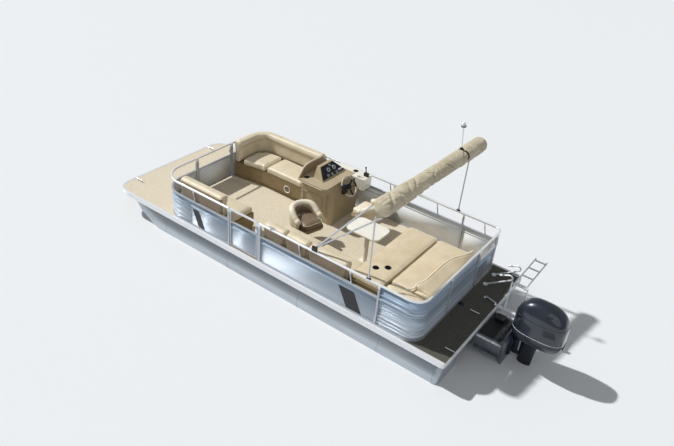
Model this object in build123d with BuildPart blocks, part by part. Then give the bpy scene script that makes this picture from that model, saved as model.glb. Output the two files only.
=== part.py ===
from build123d import *
import os
from math import atan2, cos, degrees, radians, sin, sqrt

os.makedirs("parts", exist_ok=True)

# Pontoon boat, in millimetres. X runs forward from amidships, Y to port, Z up from the water.

# Deck
deck_length = 6800
beam = 2590
deck_height = 470
deck_thickness = 25
bow_radius = 300
stern_radius = 60
trim_wall = 4
trim_depth = 85
trim_bead = 5
bead_height = 12
bow = deck_length / 2
stern = -deck_length / 2

# Floats and the frame between them
tube_diameter = 584
tube_spacing = 1940
nose_length = 1150
nose_overhang = 100
tube_stern_inset = 60
tube_cap_radius = 80
keel_width = 26
keel_depth = 14
beam_height = 50
beam_width = 60
beam_wall = 4
beam_count = 16
beam_inset = 45
riser_height = 55
riser_spread = 120
riser_wall = 6
riser_inset = 90
riser_nose_lap = 450
seat_gap = 0.3
tube_radius = tube_diameter / 2
deck_bottom = deck_height - deck_thickness
tube_top = deck_bottom - beam_height - riser_height
tube_axis = tube_top - tube_radius
tube_aft = stern + tube_stern_inset
nose_aft = bow - nose_overhang - nose_length

# Motor pod and its transom
pod_width = 640
pod_length = 1300
pod_overhang = 400
pod_top = 370
pod_side_height = 210
pod_keel = -60
pod_flange = 45
pod_flange_wall = 8
transom_thickness = 45
transom_rise = 45
pod_aft = stern - pod_overhang
pod_front = pod_aft + pod_length
transom_top = pod_top + transom_rise

# Fence round the deck
fence_inset = 55
foredeck_length = 1240
aft_deck_length = 490
carpet_lap = 20
fence_bow_radius = 380
fence_stern_radius = 220
fence_gate_radius = 130
rail_size = 32
fence_front = bow - foredeck_length
fence_stern = stern + aft_deck_length
deck_split = fence_stern + carpet_lap
rail_corner = 9
rail_height = 700
mid_rail = 24
panel_top = 490
panel_wall = 4
panel_bead = 3
foot_rail = 26
post_width = 32
double_post = 64
aft_post_setback = 670
spacer_lean = 50
spacer_wall = 10
fence_side = beam / 2 - fence_inset
aft_post = fence_stern + aft_post_setback

# Gates: each opening's two ends
bow_gate_port = 460
bow_gate_starboard = -390
side_gate_front = 600
side_gate_aft = 0
stern_gate_width = 605
stern_gate_inset = 155
stern_gate_starboard = stern_gate_inset - fence_side
stern_gate_port = stern_gate_starboard + stern_gate_width
gate_tube = 25
gate_gap = 9
gate_floor_gap = 30
hinge_radius = 7
hinge_length = 34
hinge_offset = 24
hinge_heights = (120, 600)
latch_radius = 8

# Seats
seat_top = 440
seat_thickness = 110
back_top = 790
back_thickness = 170
kick_height = 90
kick_depth = 60
base_wall = 8
cushion_gap = 6
soft_gap = 0.4
seat_edge_radius = 25
back_edge_radius = 45
lounge_side = fence_side - rail_size / 2 - 12
lounge_front = 2120
starboard_lounge_aft = 560
port_lounge_aft = 640
port_back_aft = 800
mid_lounge_front = -60
mid_lounge_aft = -1660
mid_back_top = 730

# Console: its top overhangs the body to port, and the body bulges aft of the top
console_front = 430
console_length = 620
console_port = -215
console_width = 845
console_height = 730
console_wall = 12
console_overhang = 105
console_bulge = 60
flare_low = 600
flare_high = 700
console_corner = 80
console_edge = 36
coaming_rise = 188
coaming_wall = 26
pod_back = 250
dash_lip = 180
dash_rise = 190
dash_foot = (-375, -1040)
dash_head = (-501, -848)
dash_wall = 8
dash_border = 12
console_aft = console_front - console_length
console_starboard = console_port - console_width
body_port = console_port - console_overhang
body_aft = console_aft - console_bulge
door_width = 445
door_low = 60
door_high = 510
door_inset = 55
door_clear = 4

# White shelf that wraps the console's starboard quarter, with a cup well and a pocket
shelf_front = 214
shelf_aft = -448
shelf_width = 268
shelf_depth = 210
shelf_corner = 28
pocket_depth = 40
cup_radius = 40
cup_depth = 60
cup_wall = 4
console_cup = (330, -345)
shelf_cup = (-147, -1125)
shelf_outer = rail_size - fence_side
shelf_inner = shelf_outer + shelf_width

# Wheel
wheel_radius = 170
wheel_grip = 14
wheel_centre = (-355, -640, 700)
wheel_rake = 35

# Chairs: centre and heading of each
helm_place = (-800, -640)
helm_heading = 0
companion_place = (-200, 300)
companion_heading = 165
pedestal_radius = 38
pedestal_foot = 150
pedestal_height = 290
chair_gap = 0.3
chair_width = 520
chair_depth = 500
chair_seat = 120
chair_back_height = 310
chair_shell = 60

# Sun deck
sundeck_length = 1180
sundeck_setback = 30
sundeck_side_gap = 70
sundeck_starboard = -450
sundeck_pad_split = 645
sundeck_corner = 185
sundeck_base_height = 510
pad_thickness = 110
sundeck_wall = 12
lid_gap = 8
bolster_port_width = 370
bolster_starboard_width = 70
bolster_rise = 90
pad_cup_radius = 42
pad_cup_depth = 70
sundeck_aft = fence_stern + sundeck_setback
sundeck_front = sundeck_aft + sundeck_length
sundeck_split = sundeck_aft + sundeck_pad_split
sundeck_port = fence_side - sundeck_side_gap

# Table
table_centre = (-1290, 130)
table_size = (600, 440)
table_height = 650
table_wall = 32
table_leg = 38

# Bimini, stowed in its boot
bimini_hinge = (-1100, 765)
bimini_tube = 25
boot_radius = 150
boot_port = (-2050, 1200, 1815)
boot_starboard = (-2270, -1270, 1990)
boot_end = 60
bow_tops = (0.35, -0.45)
brace_tube = 22
brace_pad = 14
brace_barrel = 15
brace_head = 1165
braces = {
    # side: foot ahead of the aft post, head ahead of the foot, gap under the roll
    1: (190, 60, 8),
    -1: (118, -38, 1),
}

# Anchor light on the folded top
light_share = 0.76
light_lean = 5.4
light_pole = 20
light_length = 462
light_base = (38, 18)
light_lens = (27, 50)

# Boarding ladder
ladder_pivot = (-465, 400)
ladder_setback = 112
ladder_width = 206
ladder_rail = 25
ladder_reach = 825
ladder_tail = 20
ladder_rise = 1
ladder_rungs = 4
rung_pitch = 245
rung_first = 45
rung_radius = 13
ladder_ear = 24
ladder_ear_wall = 12
ladder_front = stern - ladder_setback
ladder_aft = ladder_front - ladder_width

# Outboard: places along it step aft from the pod's transom
tilt_setback = 35
tilt_rise = 40
steer_setback = 70
tilt_pin = 16
cowl_lead = 40
cowl_length = 740
cowl_width = 430
cowl_bottom = 495
cowl_top = 1150
plate_height = -250
plate_setback = 245
propeller_height = -420
gearcase_radius = 58
gearcase_lead = 55
gearcase_length = 390
yoke_reach = 155
skeg_bottom = -650
tilt_x = pod_aft - tilt_setback
tilt_z = transom_top + tilt_rise
steer_x = tilt_x - steer_setback
cowl_front = tilt_x + cowl_lead
gearcase_nose = steer_x + gearcase_lead
gearcase_aft = gearcase_nose - gearcase_length
hub_radius = 44
hub_length = 110
blade_radius = 152
blade_width = 120
blade_wall = 7
blade_pitch = 38
blade_count = 3


def outline(inset):
    """The deck's outline, drawn in by a distance."""
    with BuildSketch() as shape:
        Rectangle(deck_length - 2 * inset, beam - 2 * inset)
        fillet(shape.vertices().group_by(Axis.X)[0], max(stern_radius - inset, 1))
        fillet(shape.vertices().group_by(Axis.X)[-1], max(bow_radius - inset, 1))
    return shape.sketch


def ribbon(path, width, low, high):
    """A wall of one width that stands along a path, between two heights."""
    with BuildPart() as wall:
        with BuildSketch(Plane.XY.offset(low)):
            trace(path, line_width=width)
        extrude(amount=high - low)
    return wall.part


def block(x, y, z, corner=0):
    """A box between pairs of X, Y and Z, with its upright edges rounded."""
    with BuildPart() as box:
        with BuildSketch(Plane.XY.offset(z[0])):
            with Locations(((x[0] + x[1]) / 2, (y[0] + y[1]) / 2)):
                if corner:
                    RectangleRounded(x[1] - x[0], y[1] - y[0], corner)
                else:
                    Rectangle(x[1] - x[0], y[1] - y[0])
        extrude(amount=z[1] - z[0])
    return box.part


def rod(start, end, radius):
    """A round bar from one point to another."""
    way = Vector(end) - Vector(start)
    with BuildPart() as bar:
        with BuildSketch(Plane(origin=start, z_dir=way)):
            Circle(radius)
        extrude(amount=way.length)
    return bar.part


def top_rail(path):
    """The fence's rounded top rail along a path."""
    height = deck_height + rail_height
    start = path @ 0
    section = Plane(origin=(start.X, start.Y, height), x_dir=(0, 0, 1), z_dir=path % 0)
    with BuildPart() as rail:
        with BuildSketch(section):
            RectangleRounded(rail_size, rail_size, rail_corner)
        sweep(path=path.moved(Location((0, 0, height))))
    return rail.part


def fence_run(path, posts, spacers=(), beads=(), full=None):
    """One run of fence: rails, panel, posts as (x, y, size x, size y) and slanted spacers at (x, y)."""
    floor = deck_height
    under_rail = floor + rail_height - rail_size / 2
    pieces = [
        top_rail(path),
        ribbon(path, rail_size, floor, floor + foot_rail),
        ribbon(path, rail_size, floor + panel_top - mid_rail, floor + panel_top),
        ribbon(path, panel_wall, floor, floor + panel_top),
    ]
    if full:
        pieces.append(ribbon(full, panel_wall, floor, under_rail))
    for run, height in beads:
        pieces.append(ribbon(run, panel_wall + 2 * panel_bead, floor + height, floor + height + bead_height))
    for x, y, size_x, size_y in posts:
        sides = ((x - size_x / 2, x + size_x / 2), (y - size_y / 2, y + size_y / 2))
        pieces.append(block(*sides, (floor, under_rail + rail_size / 2), 5))
    for x, y in spacers:
        foot = (x - spacer_lean / 2, y, floor + panel_top - mid_rail / 2)
        head = (x + spacer_lean / 2, y, under_rail + rail_size / 2)
        pieces.append(rod(foot, head, spacer_wall))
    return pieces


def knuckle(x, y, reach, low):
    """A hinge's barrel with the strap that carries it to a post or a gate's stile."""
    pin = rod((x, y, low), (x, y, low + hinge_length), hinge_radius)
    strap = block((min(x, reach[0]), max(x, reach[0])), (min(y, reach[1]), max(y, reach[1])),
                  (low, low + hinge_length))
    return [pin, strap]


def gate_leaf(path, stiles):
    """A gate: its frame of tube and its panel, along a straight path."""
    low = deck_height + gate_floor_gap
    high = deck_height + rail_height + rail_size / 2
    pieces = [
        ribbon(path, gate_tube, low, low + gate_tube),
        ribbon(path, gate_tube, deck_height + panel_top - mid_rail, deck_height + panel_top),
        ribbon(path, gate_tube, high - gate_tube, high),
        ribbon(path, panel_wall, low, deck_height + panel_top),
    ]
    for x, y in stiles:
        half = gate_tube / 2
        pieces.append(block((x - half, x + half), (y - half, y + half), (low, high), 4))
    return pieces


# Floats: a round tube, a nose of circles whose tops stay level, a keel strip
nose_sections = [
    # share of the nose's length, radius as a share of the tube's, drop of the top as a share
    (0.00, 1.00, 0.00),
    (0.35, 0.90, 0.00),
    (0.65, 0.66, 0.02),
    (0.88, 0.36, 0.05),
    (1.00, 0.10, 0.10),
]


def float_tube(side):
    """A float on one side, 1 to port and -1 to starboard."""
    y = side * tube_spacing / 2
    with BuildPart() as tube:
        with BuildSketch(Plane(origin=(tube_aft, y, tube_axis), z_dir=(1, 0, 0))):
            Circle(tube_radius)
        extrude(amount=nose_aft - tube_aft)
        fillet(tube.edges().filter_by(GeomType.CIRCLE).sort_by(Axis.X)[0], tube_cap_radius)
        for share, size, drop in nose_sections:
            radius = tube_radius * size
            height = tube_top - radius - drop * tube_radius
            with BuildSketch(Plane(origin=(nose_aft + share * nose_length, y, height), z_dir=(1, 0, 0))):
                Circle(radius)
        loft()
        add(block((tube_aft + tube_cap_radius, nose_aft), (y - keel_width / 2, y + keel_width / 2),
                  (tube_axis - tube_radius - keel_depth, tube_axis - tube_radius + keel_depth)))
    return tube.part


with BuildPart() as tube_port:
    add(float_tube(1))
tube_port.part.label = "tube_port"
export_step(tube_port.part, "parts/tube_port.step")

with BuildPart() as tube_starboard:
    add(float_tube(-1))
tube_starboard.part.label = "tube_starboard"
export_step(tube_starboard.part, "parts/tube_starboard.step")

# Cross beams of channel on risers that stand on the floats
beam_bottom = deck_bottom - beam_height
beam_span = beam - 2 * (trim_wall + 20)
beam_first = stern + 150
beam_pitch = (bow - 260 - beam_first) / (beam_count - 1)
riser_low = tube_axis + sqrt((tube_radius + seat_gap) ** 2 - (riser_spread / 2 - riser_wall / 2) ** 2)
riser_x = (tube_aft + riser_inset, nose_aft + riser_nose_lap)
with BuildPart() as underframe:
    with BuildSketch(Plane(origin=(0, beam_span / 2, beam_bottom), x_dir=(1, 0, 0), z_dir=(0, -1, 0))):
        for number in range(beam_count):
            with Locations((beam_first + number * beam_pitch, beam_height / 2)):
                Rectangle(beam_width, beam_height)
            with Locations((beam_first + number * beam_pitch, (beam_height - beam_wall) / 2)):
                Rectangle(beam_width - 2 * beam_wall, beam_height - beam_wall, mode=Mode.SUBTRACT)
    extrude(amount=beam_span)
    for side in (1, -1):
        for edge in (1, -1):
            y = side * tube_spacing / 2 + edge * riser_spread / 2
            add(block(riser_x, (y - riser_wall / 2, y + riser_wall / 2), (riser_low, beam_bottom)))
        y = side * tube_spacing / 2
        half = riser_spread / 2 + riser_wall / 2
        add(block(riser_x, (y - half, y + half), (beam_bottom - riser_wall, beam_bottom)))
    for tube in (tube_port, tube_starboard):
        add(tube.part.moved(Location((0, 0, seat_gap))), mode=Mode.SUBTRACT)
underframe.part.label = "underframe"
export_step(underframe.part, "parts/underframe.step")

# Deck: vinyl forward of the stern fence, carpet aft of it
with BuildPart() as deck:
    with BuildSketch(Plane.XY.offset(deck_bottom)):
        add(outline(trim_wall))
        with Locations(((deck_split + stern) / 2, 0)):
            Rectangle(deck_split - stern, beam, mode=Mode.SUBTRACT)
    extrude(amount=deck_thickness)
deck.part.label = "deck"
export_step(deck.part, "parts/deck.step")

with BuildPart() as aft_deck:
    with BuildSketch(Plane.XY.offset(deck_bottom)):
        add(outline(trim_wall))
        with Locations(((deck_split + bow) / 2, 0)):
            Rectangle(bow - deck_split, beam, mode=Mode.SUBTRACT)
    extrude(amount=deck_thickness)
aft_deck.part.label = "aft_deck"
export_step(aft_deck.part, "parts/aft_deck.step")

with BuildPart() as edge_trim:
    with BuildSketch(Plane.XY.offset(deck_height - trim_depth)):
        add(outline(0))
        add(outline(trim_wall), mode=Mode.SUBTRACT)
    extrude(amount=trim_depth + 3)
    for height in (0, trim_depth / 2 - bead_height / 2, trim_depth - bead_height):
        with BuildSketch(Plane.XY.offset(deck_height - trim_depth + height)):
            add(outline(-trim_bead))
            add(outline(0), mode=Mode.SUBTRACT)
        extrude(amount=bead_height)
edge_trim.part.label = "edge_trim"
export_step(edge_trim.part, "parts/edge_trim.step")

# Motor pod: a box with a vee bottom, flanges along its sides and a transom plate
with BuildPart() as motor_pod:
    with BuildSketch(Plane(origin=(pod_front, 0, 0), x_dir=(0, 1, 0), z_dir=(1, 0, 0))):
        with BuildLine():
            half = pod_width / 2
            Polyline((-half, pod_top), (half, pod_top), (half, pod_top - pod_side_height), (0, pod_keel),
                     (-half, pod_top - pod_side_height), close=True)
        make_face()
    extrude(amount=pod_aft - pod_front)
    for side in (1, -1):
        for height in (pod_top - pod_flange_wall, pod_top - pod_side_height):
            edge = side * half
            reach = edge + side * pod_flange
            add(block((pod_aft, stern - 12), (min(edge, reach), max(edge, reach)),
                      (height, height + pod_flange_wall)))
    add(block((pod_aft - transom_thickness, pod_aft), (-half + 40, half - 40), (pod_keel + 60, transom_top)))
    for side in (1, -1):
        y = side * (half - 60)
        add(block((pod_front, pod_aft + 500), (y - 20, y + 20), (pod_top, beam_bottom - seat_gap)))
motor_pod.part.label = "motor_pod"
export_step(motor_pod.part, "parts/motor_pod.step")

# Paths of the fence
half_post = post_width / 2
port_y = fence_side
bow_gate_post_port = bow_gate_port + half_post
bow_gate_post_starboard = bow_gate_starboard - half_post
with BuildLine() as port_fwd_path:
    Line((fence_front, bow_gate_post_port), (fence_front, port_y - fence_bow_radius))
    RadiusArc((fence_front, port_y - fence_bow_radius), (fence_front - fence_bow_radius, port_y), -fence_bow_radius)
    Line((fence_front - fence_bow_radius, port_y), (side_gate_front + half_post, port_y))
with BuildLine() as port_corner:
    Line((fence_front, bow_gate_post_port), (fence_front, port_y - fence_bow_radius))
    RadiusArc((fence_front, port_y - fence_bow_radius), (fence_front - fence_bow_radius, port_y), -fence_bow_radius)
with BuildLine() as port_aft_path:
    Line((side_gate_aft - double_post / 2, port_y), (fence_stern + fence_stern_radius + 60, port_y))
with BuildLine() as port_full:
    Line((aft_post, port_y), (fence_stern + fence_stern_radius + 60, port_y))
stern_start = fence_stern + fence_stern_radius + 60
stern_post = stern_gate_port + half_post
with BuildLine() as stern_path:
    Line((stern_start, port_y), (fence_stern + fence_stern_radius, port_y))
    RadiusArc((fence_stern + fence_stern_radius, port_y), (fence_stern, port_y - fence_stern_radius),
              -fence_stern_radius)
    Line((fence_stern, port_y - fence_stern_radius), (fence_stern, stern_post))
with BuildLine() as starboard_path:
    Line((fence_front, bow_gate_post_starboard), (fence_front, fence_bow_radius - port_y))
    RadiusArc((fence_front, fence_bow_radius - port_y), (fence_front - fence_bow_radius, -port_y), fence_bow_radius)
    Line((fence_front - fence_bow_radius, -port_y), (fence_stern + fence_gate_radius, -port_y))
    RadiusArc((fence_stern + fence_gate_radius, -port_y), (fence_stern, fence_gate_radius - port_y), fence_gate_radius)
with BuildLine() as starboard_corner:
    Line((fence_front, bow_gate_post_starboard), (fence_front, fence_bow_radius - port_y))
    RadiusArc((fence_front, fence_bow_radius - port_y), (fence_front - fence_bow_radius, -port_y), fence_bow_radius)

ribs = (60, 150, 240, 330)
bead_line = 375
spacer_places = (1400, -825, -1755)

# Where each gate's hinge stands
bow_hinge = (fence_front - hinge_offset, bow_gate_port - gate_gap / 2)
side_hinge = (side_gate_front - gate_gap / 2, port_y - hinge_offset)
stern_hinge = (fence_stern + hinge_offset, stern_gate_starboard + gate_gap / 2)

port_fwd_pieces = fence_run(
    port_fwd_path.wire(),
    [(fence_front, bow_gate_post_port, post_width, post_width), (side_gate_front + half_post, port_y, post_width,
                                                               post_width)],
    [(spacer_places[0], port_y)],
    [(port_corner.wire(), height) for height in ribs] + [(port_fwd_path.wire(), bead_line)],
)
port_aft_pieces = fence_run(
    port_aft_path.wire(),
    [(side_gate_aft - double_post / 2, port_y, double_post, post_width), (aft_post, port_y, post_width, post_width)],
    [(x, port_y) for x in spacer_places[1:]],
    [(port_aft_path.wire(), bead_line)] + [(port_full.wire(), height) for height in ribs],
    port_full.wire(),
)
stern_pieces = fence_run(
    stern_path.wire(),
    [(fence_stern, stern_post, post_width, post_width), (fence_stern, 400, post_width, post_width)],
    beads=[(stern_path.wire(), height) for height in ribs + (420, 560)],
    full=stern_path.wire(),
)
starboard_pieces = fence_run(
    starboard_path.wire(),
    [
        (fence_front, bow_gate_post_starboard, post_width, post_width),
        (side_gate_front, -port_y, post_width, post_width),
        (-900, -port_y, post_width, post_width),
        (aft_post, -port_y, post_width, post_width),
        (fence_stern, stern_gate_starboard - half_post, post_width, post_width),
    ],
    [(x, -port_y) for x in spacer_places + (-2630,)],
    [(starboard_corner.wire(), height) for height in ribs] + [(starboard_path.wire(), bead_line)],
)
for height in hinge_heights:
    low = deck_height + height
    port_fwd_pieces += knuckle(*bow_hinge, (fence_front, bow_gate_port + 6), low)
    port_fwd_pieces += knuckle(*side_hinge, (side_gate_front + 6, port_y), low)
    starboard_pieces += knuckle(*stern_hinge, (fence_stern, stern_gate_starboard - 6), low)

with BuildPart() as fence_port_fwd:
    add(port_fwd_pieces)
fence_port_fwd.part.label = "fence_port_fwd"
export_step(fence_port_fwd.part, "parts/fence_port_fwd.step")

with BuildPart() as fence_port_aft:
    add(port_aft_pieces)
fence_port_aft.part.label = "fence_port_aft"
export_step(fence_port_aft.part, "parts/fence_port_aft.step")

with BuildPart() as fence_stern_run:
    add(stern_pieces)
fence_stern_run.part.label = "fence_stern"
export_step(fence_stern_run.part, "parts/fence_stern.step")

with BuildPart() as fence_starboard:
    add(starboard_pieces)
fence_starboard.part.label = "fence_starboard"
export_step(fence_starboard.part, "parts/fence_starboard.step")

# Gates
stile = gate_tube / 2
with BuildLine() as bow_gate_path:
    Line((fence_front, bow_gate_port - gate_gap), (fence_front, bow_gate_starboard + gate_gap))
with BuildLine() as side_gate_path:
    Line((side_gate_front - gate_gap, port_y), (side_gate_aft + gate_gap, port_y))
with BuildLine() as stern_gate_path:
    Line((fence_stern, stern_gate_starboard + gate_gap), (fence_stern, stern_gate_port - gate_gap))
gates = {
    # path, hinge, the stile that the hinge's strap reaches, both stiles
    "bow": (bow_gate_path, bow_hinge, (fence_front, bow_gate_port - gate_gap - 6),
            [(fence_front, bow_gate_port - gate_gap - stile), (fence_front, bow_gate_starboard + gate_gap + stile)]),
    "side": (side_gate_path, side_hinge, (side_gate_front - gate_gap - 6, port_y),
             [(side_gate_front - gate_gap - stile, port_y), (side_gate_aft + gate_gap + stile, port_y)]),
    "stern": (stern_gate_path, stern_hinge, (fence_stern, stern_gate_starboard + gate_gap + 6),
              [(fence_stern, stern_gate_starboard + gate_gap + stile), (fence_stern, stern_gate_port - gate_gap - stile)]),
}
gate_pieces = {}
for name, (path, hinge, reach, stiles) in gates.items():
    gate_pieces[name] = gate_leaf(path.wire(), stiles)
    for height in hinge_heights:
        gate_pieces[name] += knuckle(*hinge, reach, deck_height + height - hinge_length - seat_gap)

with BuildPart() as bow_gate:
    add(gate_pieces["bow"])
bow_gate.part.label = "bow_gate"
export_step(bow_gate.part, "parts/bow_gate.step")

with BuildPart() as side_gate:
    add(gate_pieces["side"])
side_gate.part.label = "side_gate"
export_step(side_gate.part, "parts/side_gate.step")

with BuildPart() as stern_gate:
    add(gate_pieces["stern"])
stern_gate.part.label = "stern_gate"
export_step(stern_gate.part, "parts/stern_gate.step")

# Lounges: plans of the seats, then base, seat and back of each
floor = deck_height
bow_seat_front = 1965
seat_inner = 500
seat_tip = 410
corner = fence_bow_radius - 40
back_line = lounge_side - back_thickness / 2
front_line = lounge_front - back_thickness / 2
back_corner = corner - back_thickness / 2


def starboard_plan(inset):
    """The starboard bow lounge's plan, its free front drawn in by a distance."""
    with BuildSketch() as plan:
        with BuildLine():
            a = (lounge_front, -seat_tip - inset)
            b = (bow_seat_front, -seat_tip - inset)
            c = (1500, -seat_inner - inset)
            d = (starboard_lounge_aft, -seat_inner - inset)
            e = (starboard_lounge_aft, -lounge_side)
            f = (lounge_front - corner, -lounge_side)
            g = (lounge_front, -lounge_side + corner)
            Polyline(a, b, c, d, e, f)
            RadiusArc(f, g, -corner)
            Line(g, a)
        make_face()
    return plan.sketch


def port_plan(inset):
    """The port bow lounge's plan, its free front drawn in by a distance."""
    with BuildSketch() as plan:
        with BuildLine():
            a = (lounge_front - 160, 640 + inset)
            b = (port_lounge_aft, 620 + inset)
            c = (port_lounge_aft, lounge_side)
            d = (lounge_front - corner, lounge_side)
            e = (lounge_front - 110, lounge_side - corner + 110)
            Polyline(a, b, c, d)
            RadiusArc(d, e, corner)
            Line(e, a)
        make_face()
    return plan.sketch


def mid_plan(inset):
    """The port side lounge's plan, its free front drawn in by a distance."""
    with BuildSketch() as plan:
        with BuildLine():
            Polyline((mid_lounge_front, lounge_side), (mid_lounge_aft, lounge_side), (mid_lounge_aft, 620 + inset),
                     (mid_lounge_front, 620 + inset), close=True)
        make_face()
    return plan.sketch


def prism(sketch, low, high):
    """A plan raised between two heights."""
    with BuildPart() as solid:
        with BuildSketch(Plane.XY.offset(low)):
            add(sketch)
        extrude(amount=high - low)
    return solid.part


def lounge_base(plan):
    """A moulded seat base over its kick recess."""
    return [prism(plan(kick_depth), floor, floor + kick_height),
            prism(plan(20), floor + kick_height, floor + seat_top - seat_thickness - soft_gap)]


def back_ribbon(points_path, top):
    """A back cushion that stands along a path, its top rounded."""
    with BuildPart() as back:
        with BuildSketch(Plane.XY.offset(floor + seat_top - seat_thickness)):
            trace(points_path, line_width=back_thickness)
        extrude(amount=top - seat_top + seat_thickness)
        fillet(back.faces().sort_by(Axis.Z)[-1].edges(), back_edge_radius)
    return back.part


with BuildLine() as starboard_back_path:
    Line((front_line, -seat_tip - 10), (front_line, -lounge_side + corner))
    RadiusArc((front_line, -lounge_side + corner), (lounge_front - corner, -back_line), back_corner)
    Line((lounge_front - corner, -back_line), (starboard_lounge_aft, -back_line))
with BuildLine() as port_back_path:
    Line((lounge_front - corner, back_line), (port_back_aft, back_line))

with BuildPart() as lounge_starboard_base:
    add(lounge_base(starboard_plan))
lounge_starboard_base.part.label = "lounge_starboard_base"
export_step(lounge_starboard_base.part, "parts/lounge_starboard_base.step")

seat_low = floor + seat_top - seat_thickness
seat_high = floor + seat_top
starboard_seat_split = 1420
with BuildPart() as starboard_back_space:
    with BuildSketch(Plane.XY.offset(seat_low)):
        trace(starboard_back_path.wire(), line_width=back_thickness + 2 * soft_gap)
        with Locations((1200, -lounge_side)):
            Rectangle(2400, 60)
    extrude(amount=back_top)
with BuildPart() as lounge_starboard_seat:
    with BuildSketch(Plane.XY.offset(seat_low)):
        add(starboard_plan(0))
        with Locations((starboard_seat_split, -800)):
            Rectangle(cushion_gap, 1600, mode=Mode.SUBTRACT)
    extrude(amount=seat_thickness)
    add(starboard_back_space.part, mode=Mode.SUBTRACT)
lounge_starboard_seat.part.label = "lounge_starboard_seat"
export_step(lounge_starboard_seat.part, "parts/lounge_starboard_seat.step")

with BuildPart() as lounge_starboard_back:
    add(back_ribbon(starboard_back_path.wire(), back_top))
lounge_starboard_back.part.label = "lounge_starboard_back"
export_step(lounge_starboard_back.part, "parts/lounge_starboard_back.step")

with BuildPart() as lounge_port_base:
    add(lounge_base(port_plan))
lounge_port_base.part.label = "lounge_port_base"
export_step(lounge_port_base.part, "parts/lounge_port_base.step")

with BuildPart() as lounge_port_seat:
    with BuildSketch(Plane.XY.offset(seat_low)):
        add(port_plan(0))
        with Locations(((lounge_front - corner + port_back_aft) / 2, back_line + 20)):
            Rectangle(lounge_front - corner - port_back_aft + 2 * soft_gap, back_thickness + 40 + 2 * soft_gap,
                      mode=Mode.SUBTRACT)
    extrude(amount=seat_thickness)
lounge_port_seat.part.label = "lounge_port_seat"
export_step(lounge_port_seat.part, "parts/lounge_port_seat.step")

with BuildPart() as lounge_port_back:
    add(back_ribbon(port_back_path.wire(), back_top))
lounge_port_back.part.label = "lounge_port_back"
export_step(lounge_port_back.part, "parts/lounge_port_back.step")

with BuildPart() as lounge_mid_base:
    add(lounge_base(mid_plan))
lounge_mid_base.part.label = "lounge_mid_base"
export_step(lounge_mid_base.part, "parts/lounge_mid_base.step")

mid_backs = ((-75, -500), (-510, -935), (-945, -1655))
mid_seat_split = -860
with BuildPart() as lounge_mid_seat:
    with BuildSketch(Plane.XY.offset(seat_low)):
        add(mid_plan(0))
        with Locations(((mid_lounge_front + mid_lounge_aft) / 2, back_line)):
            Rectangle(mid_lounge_front - mid_lounge_aft, back_thickness + 2 * soft_gap, mode=Mode.SUBTRACT)
        with Locations((mid_seat_split, back_line)):
            Rectangle(cushion_gap, beam, mode=Mode.SUBTRACT)
    extrude(amount=seat_thickness)
lounge_mid_seat.part.label = "lounge_mid_seat"
export_step(lounge_mid_seat.part, "parts/lounge_mid_seat.step")

mid_back_pieces = []
for front, aft in mid_backs:
    with BuildLine() as mid_back_path:
        Line((front, back_line), (aft, back_line))
    mid_back_pieces.append(back_ribbon(mid_back_path.wire(), mid_back_top))
with BuildPart() as lounge_mid_back:
    add(mid_back_pieces)
lounge_mid_back.part.label = "lounge_mid_back"
export_step(lounge_mid_back.part, "parts/lounge_mid_back.step")

# Console: a hollow moulding that flares to its top, with a door, a coaming and a hump for the dash
console_top = floor + console_height
door_x = (console_front - door_inset - door_width, console_front - door_inset)
door_z = (floor + door_low, floor + door_high)
door_hinge = (door_x[1] - 12, body_port + 8)
door_knuckle = 29
door_knuckles = (door_z[0] + 60 - seat_gap - door_knuckle, door_z[1] - 60 + seat_gap)


def console_plan(aft, port, inset):
    """A plan of the console out to an aft and a port line, drawn in by a distance."""
    with BuildSketch() as plan:
        with BuildLine():
            Polyline((console_front - inset, port - inset), (aft + inset, port - inset),
                     (aft + inset, console_starboard + inset), (console_front - inset, console_starboard + inset),
                     close=True)
        make_face()
        fillet(plan.vertices().group_by(Axis.X)[0].sort_by(Axis.Y)[-1], console_corner - inset)
        fillet(plan.vertices().group_by(Axis.X)[-1], console_edge - inset)
    return plan.sketch


def console_shape(inset):
    """The console's outer shape drawn in by a distance, open to the floor."""
    body = console_plan(body_aft, body_port, inset)
    top = console_plan(console_aft, console_port, inset)
    with BuildPart() as shape:
        add(prism(body, floor, floor + flare_low))
        with BuildSketch(Plane.XY.offset(floor + flare_low)):
            add(body)
        with BuildSketch(Plane.XY.offset(floor + flare_high)):
            add(top)
        loft()
        add(prism(top, floor + flare_high, console_top - inset))
    return shape.part


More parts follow.
